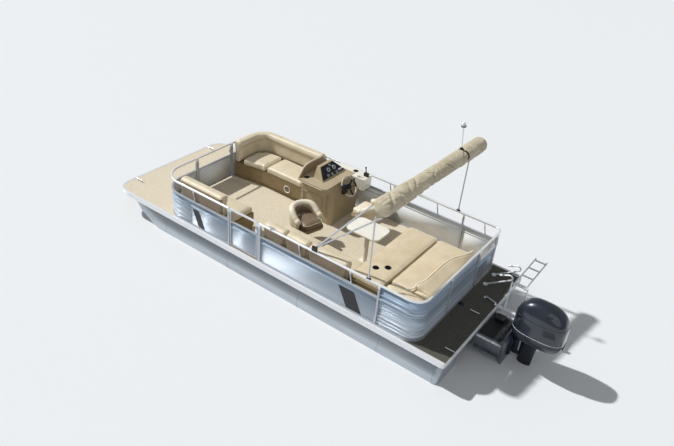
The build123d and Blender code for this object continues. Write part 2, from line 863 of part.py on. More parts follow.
with BuildPart() as console:
    add(console_shape(0))
    fillet(console.faces().sort_by(Axis.Z)[-1].edges(), console_wall)
    add(console_shape(console_wall), mode=Mode.SUBTRACT)
    add(block(door_x, (body_port - 3 * console_wall, body_port + 20), door_z), mode=Mode.SUBTRACT)
    with BuildSketch(Plane(origin=(console_front, 0, console_top), x_dir=(0, -1, 0), z_dir=(-1, 0, 0))):
        with BuildLine():
            low = -console_wall / 2
            Polyline((20 - console_port, low), (138 - console_port, 0.8 * coaming_rise),
                     (215 - console_port, coaming_rise), (-190 - console_starboard, coaming_rise),
                     (-20 - console_starboard, low), close=True)
        make_face()
    extrude(amount=coaming_wall)
    with BuildSketch(Plane.XY.offset(console_top - console_wall / 2)):
        Polygon((0, dash_foot[0]), (0, dash_foot[1]), (pod_back, dash_foot[1] + 60), (pod_back, dash_foot[0] - 60),
                align=None)
    with BuildSketch(Plane.XY.offset(console_top + dash_rise)):
        Polygon((dash_lip, dash_head[0]), (dash_lip, dash_head[1]), (pod_back - 10, dash_head[1]),
                (pod_back - 10, dash_head[0]), align=None)
    loft(ruled=True)
    with BuildSketch(Plane.XY.offset(console_top - cup_depth - cup_wall)):
        with Locations(console_cup):
            Circle(cup_radius + cup_wall)
    extrude(amount=cup_depth + cup_wall - console_wall / 2)
    with BuildSketch(Plane.XY.offset(console_top)):
        with Locations(console_cup):
            Circle(cup_radius)
    extrude(amount=-cup_depth, mode=Mode.SUBTRACT)
    for low in door_knuckles:
        add(rod((door_hinge[0], door_hinge[1], low), (door_hinge[0], door_hinge[1], low + door_knuckle), 7))
        add(block((door_hinge[0], door_x[1] + 20), (body_port + seat_gap, door_hinge[1]), (low, low + door_knuckle)))
        add(block((door_x[1] + 1, door_x[1] + 20), (body_port - 1, door_hinge[1]), (low, low + door_knuckle)))
console.part.label = "console"
export_step(console.part, "parts/console.step")

knob_place = (door_x[0] + 90, floor + 240)
with BuildPart() as console_door:
    add(block((door_x[0] + door_clear, door_x[1] - door_clear), (body_port - console_wall, body_port),
              (door_z[0] + door_clear, door_z[1] - door_clear)))
    add(rod((*door_hinge, door_z[0] + 60), (*door_hinge, door_z[1] - 60), 7))
    add(block((door_x[1] - 30, door_x[1] - 8), (body_port, body_port + 8), (door_z[0] + 60, door_z[1] - 60)))
    add(rod((knob_place[0], body_port - 2, knob_place[1]), (knob_place[0], body_port + 18, knob_place[1]), 22))
console_door.part.label = "console_door"
export_step(console_door.part, "parts/console_door.step")

# Dash: a panel on the hump's raked aft face
hump_low = console_top - console_wall / 2
dash_slope = Vector(dash_lip, 0, console_top + dash_rise - hump_low)
dash_plane = Plane(origin=(0, 0, hump_low), x_dir=(0, -1, 0), z_dir=Vector(-dash_slope.Z, 0, dash_slope.X))
dash_start = 3 * dash_border
dash_share = dash_start / dash_slope.length
dash_low = [foot + (head - foot) * dash_share for foot, head in zip(dash_foot, dash_head)]
with BuildPart() as dash:
    with BuildSketch(dash_plane.offset(seat_gap)):
        with BuildLine():
            Polyline((dash_border - dash_low[0], dash_start), (-dash_border - dash_low[1], dash_start),
                     (-dash_border - dash_head[1], dash_slope.length - dash_border),
                     (dash_border - dash_head[0], dash_slope.length - dash_border), close=True)
        make_face()
    extrude(amount=dash_wall)
dash.part.label = "dash"
export_step(dash.part, "parts/dash.step")

with BuildPart() as helm_shelf:
    inner = console_starboard - seat_gap
    add(block((shelf_aft, body_aft - seat_gap), (shelf_outer, shelf_inner), (console_top - shelf_depth, console_top),
              shelf_corner))
    add(block((body_aft - seat_gap - shelf_corner, shelf_front), (shelf_outer, inner),
              (console_top - shelf_depth, console_top)))
    add(block((body_aft - seat_gap - shelf_corner, console_aft - seat_gap), (shelf_outer, shelf_inner),
              (floor + flare_high + seat_gap, console_top)))
    add(block((shelf_aft + 25, shelf_aft + 175), (shelf_inner - 90, shelf_inner - 25),
              (console_top - pocket_depth, console_top + 10), 20), mode=Mode.SUBTRACT)
    with BuildSketch(Plane.XY.offset(console_top)):
        with Locations(shelf_cup):
            Circle(cup_radius)
    extrude(amount=-cup_depth, mode=Mode.SUBTRACT)
helm_shelf.part.label = "helm_shelf"
export_step(helm_shelf.part, "parts/helm_shelf.step")

# Steering wheel: a rim and three spokes on a raked shaft
wheel_x, wheel_y, wheel_z = wheel_centre
rake = radians(wheel_rake)
wheel_axis = Vector(-cos(rake), 0, sin(rake))
wheel_plane = Plane(origin=(wheel_x, wheel_y, floor + wheel_z), x_dir=(0, 1, 0), z_dir=wheel_axis)
with BuildPart() as steering_wheel:
    with BuildSketch(Plane(origin=wheel_plane.from_local_coords((wheel_radius, 0, 0)), x_dir=(0, 1, 0),
                           z_dir=wheel_plane.y_dir)):
        Circle(wheel_grip)
    revolve(axis=Axis(wheel_plane.origin, wheel_axis), revolution_arc=360)
    with BuildSketch(wheel_plane.offset(-30)):
        Circle(48)
    extrude(amount=44)
    with BuildSketch(wheel_plane.offset(-8)):
        with PolarLocations(wheel_radius / 2 + 14, 3, start_angle=90):
            Rectangle(wheel_radius - 32, 30)
    extrude(amount=12)
steering_wheel.part.label = "steering_wheel"
export_step(steering_wheel.part, "parts/steering_wheel.step")

wheel_base = wheel_plane.origin - wheel_axis * (30 + seat_gap)
helm_shaft_end = wheel_base - wheel_axis * ((body_aft - 30 - wheel_base.X) / -wheel_axis.X)
throttle_place = (shelf_aft + 60, shelf_outer + 110)
with BuildPart() as helm_column:
    add(rod(tuple(helm_shaft_end), tuple(wheel_base), 26))
    add(block((body_aft - 50, body_aft - seat_gap), (wheel_y - 60, wheel_y + 60),
              (helm_shaft_end.Z - 110, helm_shaft_end.Z + 30), 12))
    x, y = throttle_place
    add(block((x - 45, x + 45), (y - 28, y + 28), (console_top + seat_gap, console_top + 55), 12))
    add(rod((x, y, console_top + 40), (x + 25, y, console_top + 150), 9))
    with Locations((x + 25, y, console_top + 155)):
        Sphere(17)
helm_column.part.label = "helm_column"
export_step(helm_column.part, "parts/helm_column.step")

# Pedestals and chairs
with BuildPart() as pedestals:
    for x, y in (helm_place, companion_place):
        add(rod((x, y, floor), (x, y, floor + 12), pedestal_foot))
        add(rod((x, y, floor), (x, y, floor + pedestal_height), pedestal_radius))
pedestals.part.label = "seat_pedestals"
export_step(pedestals.part, "parts/seat_pedestals.step")


def chair(place, heading):
    """A bucket chair: a thick seat inside a back that wraps round three sides."""
    low = floor + pedestal_height + chair_gap
    with BuildPart() as seat:
        with BuildSketch(Plane.XY.offset(low)):
            RectangleRounded(chair_depth, chair_width, 130)
        extrude(amount=chair_seat + 30)
        with BuildLine() as wrap:
            Line((60, chair_width / 2 - chair_shell / 2), (-30, chair_width / 2 - chair_shell / 2))
            RadiusArc((-30, chair_width / 2 - chair_shell / 2), (-30, chair_shell / 2 - chair_width / 2),
                      -(chair_width - chair_shell) / 2)
            Line((-30, chair_shell / 2 - chair_width / 2), (60, chair_shell / 2 - chair_width / 2))
        with BuildSketch(Plane.XY.offset(low + 40)):
            trace(wrap.wire(), line_width=chair_shell)
        extrude(amount=chair_back_height)
        with BuildSketch(Plane(origin=(0, 0, 0), x_dir=(1, 0, 0), z_dir=(0, -1, 0))):
            with BuildLine():
                Polyline((-160, low + chair_back_height + 60), (400, low + chair_back_height + 60), (400, low + 190),
                         (70, low + 210), close=True)
            make_face()
        extrude(amount=chair_width, both=True, mode=Mode.SUBTRACT)
    return seat.part.moved(Location((place[0], place[1], 0), (0, 0, heading)))


with BuildPart() as helm_seat:
    add(chair(helm_place, helm_heading))
helm_seat.part.label = "helm_seat"
export_step(helm_seat.part, "parts/helm_seat.step")

with BuildPart() as companion_seat:
    add(chair(companion_place, companion_heading))
companion_seat.part.label = "companion_seat"
export_step(companion_seat.part, "parts/companion_seat.step")

# Sun deck: a hollow base, a fixed front pad with cup wells and a pad that lifts
base_top = floor + sundeck_base_height


def sundeck_plan(aft, front, inset=0):
    """The sun deck's plan between two stations, with a large corner aft to port."""
    with BuildSketch() as plan:
        with Locations(((aft + front) / 2, (sundeck_starboard + sundeck_port) / 2)):
            Rectangle(front - aft, sundeck_port - sundeck_starboard - 2 * inset)
        ends = plan.vertices().group_by(Axis.X)
        fillet(ends[0].sort_by(Axis.Y)[-1], sundeck_corner - inset)
        fillet(plan.vertices().group_by(Axis.X)[0].sort_by(Axis.Y)[0], 40 - inset)
    return plan.sketch


with BuildPart() as sundeck_base:
    add(prism(sundeck_plan(sundeck_aft, sundeck_front), floor, base_top))
    add(prism(sundeck_plan(sundeck_aft + sundeck_wall, sundeck_split - 30, sundeck_wall), floor + sundeck_wall,
              base_top + 10), mode=Mode.SUBTRACT)
sundeck_base.part.label = "sundeck_base"
export_step(sundeck_base.part, "parts/sundeck_base.step")

cup_places = ((sundeck_front - 225, 860), (sundeck_front - 355, 740))
with BuildPart() as sundeck_front_pad:
    add(block((sundeck_split + lid_gap, sundeck_front), (sundeck_starboard, sundeck_port),
              (base_top + soft_gap, base_top + pad_thickness), 40))
    fillet(sundeck_front_pad.faces().sort_by(Axis.Z)[-1].edges(), 30)
    with BuildSketch(Plane.XY.offset(base_top + pad_thickness)):
        with Locations(*cup_places):
            Circle(pad_cup_radius)
    extrude(amount=-pad_cup_depth, mode=Mode.SUBTRACT)
sundeck_front_pad.part.label = "sundeck_front_pad"
export_step(sundeck_front_pad.part, "parts/sundeck_front_pad.step")

with BuildPart() as bolster:
    pad_aft = sundeck_aft + 10
    with BuildSketch(Plane.XY.offset(base_top + 40)):
        add(sundeck_plan(pad_aft, sundeck_split))
        Polygon((pad_aft, sundeck_port), (pad_aft, sundeck_starboard),
                (pad_aft + bolster_starboard_width, sundeck_starboard), (pad_aft + bolster_port_width, sundeck_port),
                align=None, mode=Mode.INTERSECT)
    extrude(amount=pad_thickness + bolster_rise - 40)
    fillet(bolster.faces().sort_by(Axis.Z)[-1].edges(), 30)
with BuildPart() as sundeck_pad:
    add(prism(sundeck_plan(pad_aft, sundeck_split), base_top + seat_gap, base_top + pad_thickness))
    fillet(sundeck_pad.faces().sort_by(Axis.Z)[-1].edges(), 30)
    add(bolster.part)
sundeck_pad.part.label = "sundeck_pad"
export_step(sundeck_pad.part, "parts/sundeck_pad.step")

# Table on its leg
with BuildPart() as table:
    with BuildSketch(Plane.XY.offset(floor + table_height - table_wall)):
        with Locations(table_centre):
            RectangleRounded(*table_size, 110)
    extrude(amount=table_wall)
    chamfer(table.faces().sort_by(Axis.Z)[-1].edges(), 4)
    add(rod((*table_centre, floor), (*table_centre, floor + table_height - table_wall), table_leg))
    add(rod((*table_centre, floor), (*table_centre, floor + 10), 110))
table.part.label = "table"
export_step(table.part, "parts/table.step")

# Bimini: the boot's roll, the arms that reach it from the rails, the braces under it
hinge_x, hinge_z = bimini_hinge
hinge_level = floor + hinge_z
boot_axis = Vector(boot_starboard) - Vector(boot_port)
boot_low = Vector(boot_port) + Vector(0, 0, floor)
boot_plane = Plane(origin=boot_low, x_dir=(1, 0, 0), z_dir=boot_axis)
light_foot = boot_low + boot_axis * light_share
light_way = Vector(sin(radians(light_lean)), 0, cos(radians(light_lean)))
with BuildPart() as bimini_boot:
    with BuildSketch(boot_plane):
        Circle(boot_radius)
    extrude(amount=boot_axis.length)
    fillet(bimini_boot.edges().filter_by(GeomType.CIRCLE), boot_end)
    add(rod(light_foot - light_way * seat_gap, light_foot + light_way * 2 * boot_radius, light_pole / 2 + seat_gap),
        mode=Mode.SUBTRACT)
bimini_boot.part.label = "bimini_boot"
export_step(bimini_boot.part, "parts/bimini_boot.step")

arm_barrel = 14
mount_shift = 2
mount_half = 12
arm_y = fence_side + mount_shift - mount_half - seat_gap - arm_barrel
with BuildPart() as boot_space:
    with BuildSketch(boot_plane):
        Circle(boot_radius + seat_gap)
    extrude(amount=boot_axis.length)
arm_pieces = []
for side, end in ((1, boot_port), (-1, boot_starboard)):
    y = side * arm_y
    foot = (hinge_x, y, hinge_level)
    for lean in bow_tops:
        head_x = end[0] + boot_radius * lean * 1.4
        head_z = floor + end[2] + boot_radius * lean * 1.2
        arm_pieces.append(rod(foot, (head_x, side * (arm_y - 90), head_z), bimini_tube / 2))
    arm_pieces.append(rod((hinge_x, y - arm_barrel, hinge_level), (hinge_x, y + arm_barrel, hinge_level), 22))
with BuildPart() as bimini_arms:
    add(arm_pieces)
    add(boot_space.part, mode=Mode.SUBTRACT)
bimini_arms.part.label = "bimini_arms"
export_step(bimini_arms.part, "parts/bimini_arms.step")

rail_top = floor + rail_height + rail_size / 2
brace_pivot = rail_top + brace_pad + brace_barrel + seat_gap
with BuildPart() as rail_mounts:
    for side, (setting, lean, gap) in braces.items():
        y = side * (fence_side + mount_shift)
        foot_x = aft_post + setting
        add(block((hinge_x - 45, hinge_x + 45), (y - mount_half, y + mount_half), (rail_top, hinge_level + 26)))
        add(block((foot_x - 30, foot_x + 30), (y - 16, y + 16), (rail_top, rail_top + brace_pad)))
rail_mounts.part.label = "rail_mounts"
export_step(rail_mounts.part, "parts/rail_mounts.step")


def brace(side):
    """A brace from the rail to just under the boot."""
    setting, lean, gap = braces[side]
    foot_x = aft_post + setting
    y = side * (fence_side + 2 * mount_shift)
    share = (boot_port[1] - side * brace_head) / (boot_port[1] - boot_starboard[1])
    under = boot_low.Z + share * boot_axis.Z - boot_radius - gap
    return [rod((foot_x, y, brace_pivot), (foot_x + lean, side * brace_head, under), brace_tube / 2),
            rod((foot_x, y - mount_half, brace_pivot), (foot_x, y + mount_half, brace_pivot), brace_barrel)]


with BuildPart() as brace_port:
    add(brace(1))
brace_port.part.label = "brace_port"
export_step(brace_port.part, "parts/brace_port.step")

with BuildPart() as brace_starboard:
    add(brace(-1))
brace_starboard.part.label = "brace_starboard"
export_step(brace_starboard.part, "parts/brace_starboard.step")

light_head = light_foot + light_way * light_length
with BuildPart() as anchor_light:
    add(rod(light_foot, light_head, light_pole / 2))
    add(rod(light_head, light_head + light_way * light_base[1], light_base[0]))
    add(rod(light_head + light_way * light_base[1], light_head + light_way * (light_base[1] + light_lens[1]),
            light_lens[0]))
    fillet(anchor_light.edges().filter_by(GeomType.CIRCLE).sort_by(Axis.Z)[-1], 18)
anchor_light.part.label = "anchor_light"
export_step(anchor_light.part, "parts/anchor_light.step")

# Boarding ladder: posts behind the deck, and a ladder that lies across the stern and folds down
pivot_y, pivot_z = ladder_pivot
pivot_level = floor + pivot_z
arm_low = floor - 66
with BuildPart() as ladder_bracket:
    half = ladder_ear_wall / 2
    for x in (ladder_front + ladder_ear, ladder_aft - ladder_ear):
        with BuildSketch(Plane(origin=(x - half, 0, 0), x_dir=(0, 1, 0), z_dir=(1, 0, 0))):
            with BuildLine():
                Polyline((pivot_y - 26, pivot_level + 22), (pivot_y + 26, pivot_level + 22),
                         (pivot_y + 30, floor + 60), (pivot_y + 80, arm_low), (pivot_y - 30, arm_low), close=True)
            make_face()
        extrude(amount=ladder_ear_wall)
    arm_y_span = (pivot_y + 24, pivot_y + 80)
    add(block((ladder_aft - 30, stern - trim_bead - seat_gap), arm_y_span, (arm_low, arm_low + 8)))
    add(block((stern - 14, stern - trim_bead - seat_gap), arm_y_span, (arm_low - 14, floor - 8)))
ladder_bracket.part.label = "ladder_bracket"
export_step(ladder_bracket.part, "parts/ladder_bracket.step")

rise = radians(ladder_rise)
ladder_way = Vector(0, -cos(rise), sin(rise))
with BuildPart() as ladder:
    rails = (ladder_front - ladder_rail / 2, ladder_aft + ladder_rail / 2)
    for x in rails:
        pivot = Vector(x, pivot_y, pivot_level)
        add(rod(pivot - ladder_way * ladder_tail, pivot + ladder_way * ladder_reach, ladder_rail / 2))
    for number in range(ladder_rungs):
        place = Vector(0, pivot_y, pivot_level) + ladder_way * (rung_first + number * rung_pitch)
        add(rod(place + Vector(rails[1], 0, 0), place + Vector(rails[0], 0, 0), rung_radius))
    pin = ladder_ear - ladder_ear_wall / 2 - seat_gap
    add(rod((ladder_aft - pin, pivot_y, pivot_level), (ladder_front + pin, pivot_y, pivot_level), 11))
ladder.part.label = "ladder"
export_step(ladder.part, "parts/ladder.step")

# Outboard: the clamp, the swivel bracket, the leg, the cowl and the propeller
clamp_half = 150
with BuildPart() as transom_clamp:
    for side in (1, -1):
        y = side * clamp_half
        with BuildSketch(Plane(origin=(0, y + 12, 0), x_dir=(1, 0, 0), z_dir=(0, -1, 0))):
            with BuildLine():
                front = pod_aft - transom_thickness - seat_gap
                Polyline((front, tilt_z - 340), (front, tilt_z - 30), (tilt_x + 20, tilt_z + 30),
                         (tilt_x - 25, tilt_z + 30), (tilt_x - 60, tilt_z - 60), (tilt_x - 60, tilt_z - 300),
                         close=True)
            make_face()
        extrude(amount=24)
    for side in (1, -1):
        add(rod((tilt_x, side * clamp_half, tilt_z), (tilt_x, side * 60, tilt_z), tilt_pin))
transom_clamp.part.label = "transom_clamp"
export_step(transom_clamp.part, "parts/transom_clamp.step")

swivel_top = tilt_z - 48
swivel_bottom = 130
yoke_gap = seat_gap
yoke_wall = 24
with BuildPart() as swivel_bracket:
    add(rod((tilt_x, -88, tilt_z), (tilt_x, 88, tilt_z), 26))
    add(rod((steer_x, 0, swivel_bottom), (steer_x, 0, swivel_top), 42))
    for side in (1, -1):
        with BuildSketch(Plane(origin=(0, side * 70 + 10, 0), x_dir=(1, 0, 0), z_dir=(0, -1, 0))):
            with BuildLine():
                Polyline((tilt_x + 10, tilt_z - 21), (tilt_x - 24, tilt_z - 4), (steer_x - 10, swivel_top - 40),
                         (steer_x - 10, swivel_bottom + 60), (steer_x + 30, swivel_bottom + 60),
                         (tilt_x - 34, tilt_z - 90), (tilt_x - 20, tilt_z - 38), close=True)
            make_face()
        extrude(amount=20)
    add(block((steer_x - 10, steer_x + 30), (-79, 79), (swivel_bottom + 60, swivel_bottom + 100)))
    add(block((steer_x - 10, steer_x + 24), (-79, 79), (swivel_top - 90, swivel_top - 50)))
    add(rod((tilt_x, -89, tilt_z), (tilt_x, 89, tilt_z), tilt_pin + seat_gap), mode=Mode.SUBTRACT)
swivel_bracket.part.label = "swivel_bracket"
export_step(swivel_bracket.part, "parts/swivel_bracket.step")

leg_sections = [
    # height, centre aft of the steering axis, half length, half width
    (cowl_bottom, 195, 132, 85),
    (300, 180, 115, 62),
    (0, 175, 104, 44),
    (plate_height, 175, 100, 30),
    (propeller_height, 180, 90, 20),
]
gearcase_sections = [
    # X, radius
    (gearcase_nose, 10),
    (gearcase_nose - 45, 38),
    (gearcase_nose - 120, 55),
    (gearcase_nose - 220, gearcase_radius),
    (gearcase_aft, hub_radius),
]
with BuildPart() as gearcase:
    for x, radius in gearcase_sections:
        with BuildSketch(Plane(origin=(x, 0, propeller_height), z_dir=(1, 0, 0))):
            Circle(radius)
    loft()
with BuildPart() as engine_leg:
    for height, setback, half_length, half_width in leg_sections:
        with BuildSketch(Plane.XY.offset(height)):
            with Locations((steer_x - setback, 0)):
                Ellipse(half_length, half_width)
    loft()
    add(gearcase.part)
    with BuildSketch(Plane(origin=(0, 6, 0), x_dir=(1, 0, 0), z_dir=(0, -1, 0))):
        with BuildLine():
            Polyline((gearcase_nose - 130, propeller_height - 40), (gearcase_aft + 20, propeller_height - 30),
                     (gearcase_aft + 20, skeg_bottom + 25), (gearcase_aft + 60, skeg_bottom),
                     (gearcase_aft + 110, skeg_bottom), close=True)
        make_face()
    extrude(amount=12)
    with BuildSketch(Plane.XY.offset(plate_height)):
        with Locations((steer_x - plate_setback, 0)):
            Ellipse(210, 105)
    extrude(amount=12)
    for low in (swivel_top + yoke_gap, swivel_bottom - yoke_gap - yoke_wall):
        add(rod((steer_x, 0, low), (steer_x, 0, low + yoke_wall), 35))
        add(block((steer_x - yoke_reach, steer_x), (-32, 32), (low, low + yoke_wall)))
engine_leg.part.label = "engine_leg"
export_step(engine_leg.part, "parts/engine_leg.step")

cowl_sections = [
    # height as a share, shift of the centre, length share, width share
    (0.00, 0.00, 0.90, 0.90),
    (0.14, 0.00, 1.00, 1.00),
    (0.45, 0.00, 1.00, 1.00),
    (0.75, 8.00, 0.93, 0.90),
    (0.93, 25.0, 0.70, 0.66),
    (1.00, 30.0, 0.42, 0.40),
]
cowl_centre = cowl_front - cowl_length / 2
with BuildPart() as engine_cowl:
    for share, shift, length_share, width_share in cowl_sections:
        with BuildSketch(Plane.XY.offset(cowl_bottom + seat_gap + share * (cowl_top - cowl_bottom))):
            with Locations((cowl_centre + shift, 0)):
                length = cowl_length * length_share
                width = cowl_width * width_share
                RectangleRounded(length, width, 0.44 * width)
    loft()
engine_cowl.part.label = "engine_cowl"
export_step(engine_cowl.part, "parts/engine_cowl.step")

hub_front = gearcase_aft - seat_gap
blade_root = 8
with BuildPart() as blade:
    with BuildSketch(Plane(origin=(0, 0, 0), x_dir=(0, 1, 0), z_dir=(1, 0, 0))):
        with Locations((0, (hub_radius + blade_radius) / 2 - blade_root)):
            Ellipse(blade_width / 2, (blade_radius - hub_radius) / 2 + blade_root)
    extrude(amount=blade_wall / 2, both=True)
pitched_blade = blade.part.moved(Location((0, 0, 0), (0, 0, blade_pitch)))
with BuildPart() as propeller:
    add(rod((hub_front - hub_length, 0, propeller_height), (hub_front, 0, propeller_height), hub_radius))
    add(rod((hub_front - hub_length - 30, 0, propeller_height), (hub_front - hub_length, 0, propeller_height), 18))
    for number in range(blade_count):
        turn = number * 360 / blade_count
        add(pitched_blade.moved(Location((hub_front - hub_length / 2, 0, propeller_height), (turn, 0, 0))))
propeller.part.label = "propeller"
export_step(propeller.part, "parts/propeller.step")

# Cleats on the deck, and hooked grab handles beside the ladder
cleat_places = [
    # X, Y
    (stern + 70, 1020),
    (stern + 70, -1180),
    (stern + 176, 62),
    (bow - 160, 900),
    (bow - 160, -900),
]
cleat_length = 150
cleat_rise = 34
cleat_spread = 28
with BuildPart() as deck_fittings:
    for x, y in cleat_places:
        for shift in (-cleat_spread, cleat_spread):
            add(rod((x + shift, y, floor), (x + shift, y, floor + cleat_rise), 9))
        add(rod((x - cleat_length / 2, y, floor + cleat_rise), (x + cleat_length / 2, y, floor + cleat_rise), 10))
deck_fittings.part.label = "deck_fittings"
export_step(deck_fittings.part, "parts/deck_fittings.step")

grab_rows = (-700, -1015)
grab_setback = 370
grab_slope = 35.6
grab_run = 455
grab_bend = 42
grab_turn = 170
grab_return = 155
grab_tube = 26
grab_foot = stern + grab_setback
grab_way = Vector(-cos(radians(grab_slope)), sin(radians(grab_slope)))
with BuildLine() as grab_line:
    # drawn flat, with the height along Y
    climb = Line(Vector(grab_foot, floor) - grab_way * 2 * grab_tube, Vector(grab_foot, floor) + grab_way * grab_run)
    bend = JernArc(climb @ 1, climb % 1, grab_bend, -grab_turn)
    Line(bend @ 1, bend @ 1 + (bend % 1) * grab_return)
with BuildPart() as grab_handles:
    for y in grab_rows:
        upright = Plane(origin=(0, y, 0), x_dir=(1, 0, 0), z_dir=(0, -1, 0))
        path = grab_line.wire().moved(upright.location)
        with BuildSketch(Plane(origin=path @ 0, z_dir=path % 0)):
            Circle(grab_tube / 2)
        sweep(path=path)
        add(rod((grab_foot, y, floor), (grab_foot, y, floor + 6), 1.5 * grab_tube))
    split(bisect_by=Plane.XY.offset(floor))
grab_handles.part.label = "grab_handles"
export_step(grab_handles.part, "parts/grab_handles.step")
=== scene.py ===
import math

import bmesh
import bpy
import numpy as np
from bpy.props import FloatProperty, PointerProperty
from mathutils import Matrix
from mathutils.bvhtree import BVHTree


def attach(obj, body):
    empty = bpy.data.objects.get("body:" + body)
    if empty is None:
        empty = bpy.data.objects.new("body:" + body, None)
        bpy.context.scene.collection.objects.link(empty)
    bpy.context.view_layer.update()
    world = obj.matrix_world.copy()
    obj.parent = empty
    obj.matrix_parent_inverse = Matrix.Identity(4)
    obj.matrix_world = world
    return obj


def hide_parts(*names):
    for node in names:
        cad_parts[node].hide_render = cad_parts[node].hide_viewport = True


bl_info = {
    "name": "Pontoon boat",
    "version": (1, 0, 0),
    "blender": (4, 5, 0),
    "location": "View3D > Sidebar > Boat",
    "description": "Dresses a packed pontoon boat: metalwork, upholstery, canvas, helm and outboard",
    "category": "Object",
}

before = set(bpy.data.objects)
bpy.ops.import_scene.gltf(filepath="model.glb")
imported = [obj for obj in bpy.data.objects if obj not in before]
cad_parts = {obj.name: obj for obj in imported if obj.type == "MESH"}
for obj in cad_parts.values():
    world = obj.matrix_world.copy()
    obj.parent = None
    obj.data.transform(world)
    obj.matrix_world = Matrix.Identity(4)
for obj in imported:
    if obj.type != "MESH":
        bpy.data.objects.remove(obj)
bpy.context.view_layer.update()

DECK = 0.470
FENCE_SIDE = 1.240
FENCE_FRONT = 2.160
FENCE_STERN = -2.910
END_ROWS = 7  # rows of points over the turn at each end of a pad
SIDES = ((1, "port"), (-1, "starboard"))


# Colours and materials

def linear(code):
    """An sRGB hex colour as linear red, green, blue and alpha."""
    parts = [int(code[i:i + 2], 16) / 255 for i in (1, 3, 5)]
    return [c / 12.92 if c <= 0.04045 else ((c + 0.055) / 1.055) ** 2.4 for c in parts] + [1.0]


def add_node(tree, kind, settings=(), **inputs):
    """Adds one node, sets its settings, then its inputs: a value, or a socket to link from. i3 is the input 3."""
    made = tree.nodes.new(kind)
    for key, value in dict(settings).items():
        setattr(made, key, value)
    for key, value in inputs.items():
        numbered = key[0] == "i" and key[1:].isdigit()
        socket = made.inputs[int(key[1:]) if numbered else key.replace("_", " ")]
        if isinstance(value, bpy.types.NodeSocket):
            tree.links.new(value, socket)
        else:
            socket.default_value = value
    return made


def new_material(name, colour, **constants):
    """A material with a Principled shader, its constants, and the Object coordinates."""
    made = bpy.data.materials.new(name)
    made.use_nodes = True
    tree = made.node_tree
    shader = tree.nodes["Principled BSDF"]
    shader.inputs["Base Color"].default_value = linear(colour)
    for key, value in constants.items():
        shader.inputs[key.replace("_", " ")].default_value = value
    place = tree.nodes.new("ShaderNodeTexCoord").outputs["Object"]
    return made, tree, shader, place


def two_tones(tree, shader, factor, start, end, low, high):
    """Runs the base colour from one tone to another as a factor goes from start to end."""
    ramp = add_node(tree, "ShaderNodeValToRGB", Fac=factor)
    for element, position, colour in zip(ramp.color_ramp.elements, (start, end), (low, high)):
        element.position = position
        element.color = linear(colour)
    tree.links.new(ramp.outputs["Color"], shader.inputs["Base Color"])
    return ramp.outputs["Color"]


def mottle(tree, shader, place, scale, low, high, detail=4.0):
    """Lets noise of one scale, in patches per metre, run the base colour between two tones."""
    noise = add_node(tree, "ShaderNodeTexNoise", Vector=place, Scale=scale, Detail=detail)
    return two_tones(tree, shader, noise.outputs["Fac"], 0.35, 0.65, low, high)


def roughen(tree, shader, place, scale, low, high):
    """Lets noise of one scale run the roughness between two values."""
    noise = add_node(tree, "ShaderNodeTexNoise", Vector=place, Scale=scale, Detail=5.0)
    spread = add_node(tree, "ShaderNodeMapRange", Value=noise.outputs["Fac"], i3=low, i4=high)
    tree.links.new(spread.outputs["Result"], shader.inputs["Roughness"])


def bump(tree, shader, height, strength, distance):
    """Bumps the surface by a height field, over a real distance in metres."""
    made = add_node(tree, "ShaderNodeBump", Height=height, Strength=strength, Distance=distance)
    tree.links.new(made.outputs["Normal"], shader.inputs["Normal"])


def metal(name, colour, roughness, streak=0.0, direction=(1.0, 1.0, 1.0), tint=None, metallic=1.0):
    """A bare or anodised metal with faint drawn streaks along one axis."""
    made, tree, shader, place = new_material(name, colour, Metallic=metallic, Roughness=roughness)
    stretch = add_node(tree, "ShaderNodeMapping", Vector=place, Scale=direction)
    roughen(tree, shader, stretch.outputs["Vector"], 60.0, roughness * 0.8, roughness * 1.25)
    if tint:
        mottle(tree, shader, stretch.outputs["Vector"], 6.0, colour, tint)
    if streak:
        grain = add_node(tree, "ShaderNodeTexNoise", Vector=stretch.outputs["Vector"], Scale=220.0, Detail=2.0)
        bump(tree, shader, grain.outputs["Fac"], streak, 0.0004)
    return made


def surface(name, colour, tones=None, grain=None, rough=None, **constants):
    """A material with two tones, a grain and an uneven roughness, where they are asked for. Tones are patches per
    metre, the two colours and the noise's detail. The grain is the noise's detail (None for round cells), its scale,
    its strength and its depth in metres. Rough is patches per metre and two roughnesses."""
    made, tree, shader, place = new_material(name, colour, **constants)
    if tones:
        mottle(tree, shader, place, *tones)
    if rough:
        roughen(tree, shader, place, *rough)
    if grain:
        detail, scale, strength, depth = grain
        if detail is None:
            height = add_node(tree, "ShaderNodeTexVoronoi", Vector=place, Scale=scale).outputs["Distance"]
        else:
            height = add_node(tree, "ShaderNodeTexNoise", Vector=place, Scale=scale, Detail=detail).outputs["Fac"]
        bump(tree, shader, height, strength, depth)
    return made


def by_height(material, low, high, foot, head):
    """Runs a material's base colour from one tone to another between two heights over the water."""
    tree = material.node_tree
    place = tree.nodes.new("ShaderNodeTexCoord").outputs["Object"]
    split = add_node(tree, "ShaderNodeSeparateXYZ", Vector=place)
    rise = add_node(tree, "ShaderNodeMapRange", Value=split.outputs["Z"], i1=low, i2=high)
    two_tones(tree, tree.nodes["Principled BSDF"], rise.outputs["Result"], 0.0, 1.0, foot, head)


